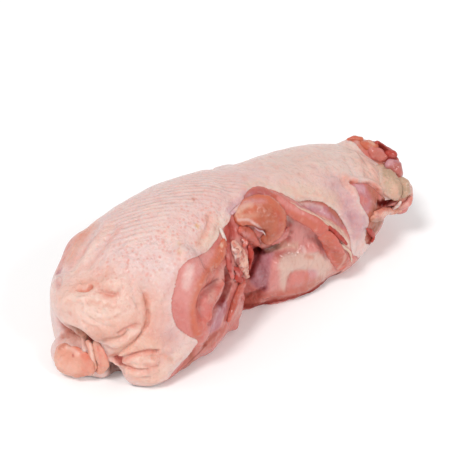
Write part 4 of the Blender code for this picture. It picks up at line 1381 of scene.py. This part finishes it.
class CHICKEN_OT_skin(bpy.types.Operator):
    """Makes the skin, a sheet that ends where leg, wing and neck were cut away."""

    bl_idname = "chicken.skin"
    bl_label = "Skin"

    def execute(self, context):
        skin = body_copy("skin", context.scene.chicken_skin.grain, 5)
        Body.tree = BVHTree.FromObject(skin, context.evaluated_depsgraph_get())
        surface = Surface(skin, "skin_pale")
        folds = np.zeros(len(surface.places), bool)
        for _, half, points in SKIN_FOLDS:
            if half < FINE_FOLD:
                reach = half + FOLD_MARGIN
                folds |= away_from(surface.places, drawn_on(Body.tree, points), reach) < reach
        refine(skin, (np.abs(beyond_windows(surface.places)) < EDGE_BANDS[0]) | folds)
        surface = Surface(skin, "skin_pale")
        refine(skin, np.abs(beyond_windows(surface.places)) < EDGE_BANDS[1])

        surface = Surface(skin, "skin_pale")
        trim_edge(surface)
        pick_faces(skin, (beyond_windows(surface.places) < 0.0) | (surface.places[:, 2] < BASE_EDGE))
        bpy.ops.mesh.delete(type="FACE")
        bpy.ops.mesh.select_all(action="SELECT")
        bpy.ops.mesh.delete_loose()
        bpy.ops.object.mode_set(mode="OBJECT")

        surface = Surface(skin, "skin_pale")
        surface.work(SKIN_FOLDS)
        beyond = beyond_windows(surface.places)
        uneven = 0.4 * patchy(surface.places, 14.0, 1) + 0.2 * patchy(surface.places, 6.0, 2)
        surface.move(uneven * ease(beyond, 0.0, 5.0))
        surface.write()
        surface.mottle("skin_rose", 22.0, 0.5, 21)
        surface.dab(SKIN_DABS)
        surface.blend("fascia_and_highlight_white", 0.3 * np.exp(-(((beyond - 0.6) / 0.8) ** 2)))
        for name, (half, soft, points) in SKIN_MASKS.items():
            surface.masks[name] = surface.cover(points, half, soft)
        surface.keep()
        apply_modifier(skin, "SOLIDIFY", thickness=SKIN_THICKNESS * MM, offset=-1.0)
        declare(skin, "skin")
        return {"FINISHED"}


class CHICKEN_OT_flesh(bpy.types.Operator):
    """Makes the carcass under the skin: muscle, fascia and fat where the skin is cut away."""

    bl_idname = "chicken.flesh"
    bl_label = "Flesh"

    def execute(self, context):
        flesh = body_copy("carcass_flesh", context.scene.chicken_flesh.grain, 4)
        surface = Surface(flesh, "muscle_rose")
        refine(flesh, beyond_windows(surface.places) < FLESH_BAND)
        surface = Surface(flesh, "muscle_rose")
        beyond = beyond_windows(surface.places)
        surface.work(FLESH_FORMS)
        uneven = 0.3 * patchy(surface.places, 5.0, 3) + 0.2 * patchy(surface.places, 2.4, 4)
        uneven = uneven * (1 - ease(beyond, -3.0, -0.5))
        surface.move(uneven - FLESH_INSET - FLESH_DEPTH * ease(beyond, 0.3, 3.0))
        surface.write()
        surface.mottle("muscle_coral", 8.0, 0.5, 31)
        surface.mottle("fascia", 6.0, 0.4, 32)
        surface.fill(FLESH_AREAS)
        surface.dab(FLESH_DABS)
        surface.keep()
        declare(flesh, "muscle")
        return {"FINISHED"}


class CHICKEN_OT_sockets(bpy.types.Operator):
    """Makes the balls of the hip sockets."""

    bl_idname = "chicken.sockets"
    bl_label = "Hip Sockets"

    def execute(self, context):
        add_strips(SOCKETS, SOCKET_GRAIN)
        return {"FINISHED"}


class CHICKEN_OT_strips(bpy.types.Operator):
    """Makes the strips of muscle, fat and skin that lie on the flesh."""

    bl_idname = "chicken.strips"
    bl_label = "Strips of Muscle and Fat"

    def execute(self, context):
        add_strips(STRIPS, context.scene.chicken_flesh.strip_grain)
        return {"FINISHED"}


class CHICKEN_OT_shreds(bpy.types.Operator):
    """Makes the torn ligament, the bone's end and the scraps round them."""

    bl_idname = "chicken.shreds"
    bl_label = "Bone and Shreds"

    def execute(self, context):
        add_strips(SHREDS, SHRED_GRAIN)
        return {"FINISHED"}


class CHICKEN_PT_panel(bpy.types.Panel):
    """Lists the operators and their settings."""

    bl_idname = "CHICKEN_PT_panel"
    bl_label = "Chicken Back"
    bl_space_type = "VIEW_3D"
    bl_region_type = "UI"
    bl_category = "Chicken Back"

    def draw(self, context):
        for operator in OPERATORS:
            self.layout.operator(operator.bl_idname)
        for name, group in SETTINGS.items():
            for setting in group.__annotations__:
                self.layout.prop(getattr(context.scene, name), setting)


OPERATORS = (
    CHICKEN_OT_stage, CHICKEN_OT_skin, CHICKEN_OT_flesh, CHICKEN_OT_sockets, CHICKEN_OT_strips,
    CHICKEN_OT_shreds,
)
SETTINGS = {"chicken_stage": StageSettings, "chicken_skin": SkinSettings, "chicken_flesh": FleshSettings}


def register():
    """Registers the settings, the operators and the panel."""
    for name, group in SETTINGS.items():
        bpy.utils.register_class(group)
        setattr(bpy.types.Scene, name, PointerProperty(type=group))
    for operator in OPERATORS:
        bpy.utils.register_class(operator)
    bpy.utils.register_class(CHICKEN_PT_panel)


def unregister():
    """Undoes register()."""
    bpy.utils.unregister_class(CHICKEN_PT_panel)
    for operator in reversed(OPERATORS):
        bpy.utils.unregister_class(operator)
    for name, group in SETTINGS.items():
        delattr(bpy.types.Scene, name)
        bpy.utils.unregister_class(group)


def main():
    """Makes every piece in order."""
    register()
    bpy.ops.chicken.stage()
    bpy.ops.chicken.skin()
    bpy.ops.chicken.flesh()
    bpy.ops.chicken.sockets()
    bpy.ops.chicken.strips()
    bpy.ops.chicken.shreds()


if __name__ == "__main__":
    main()
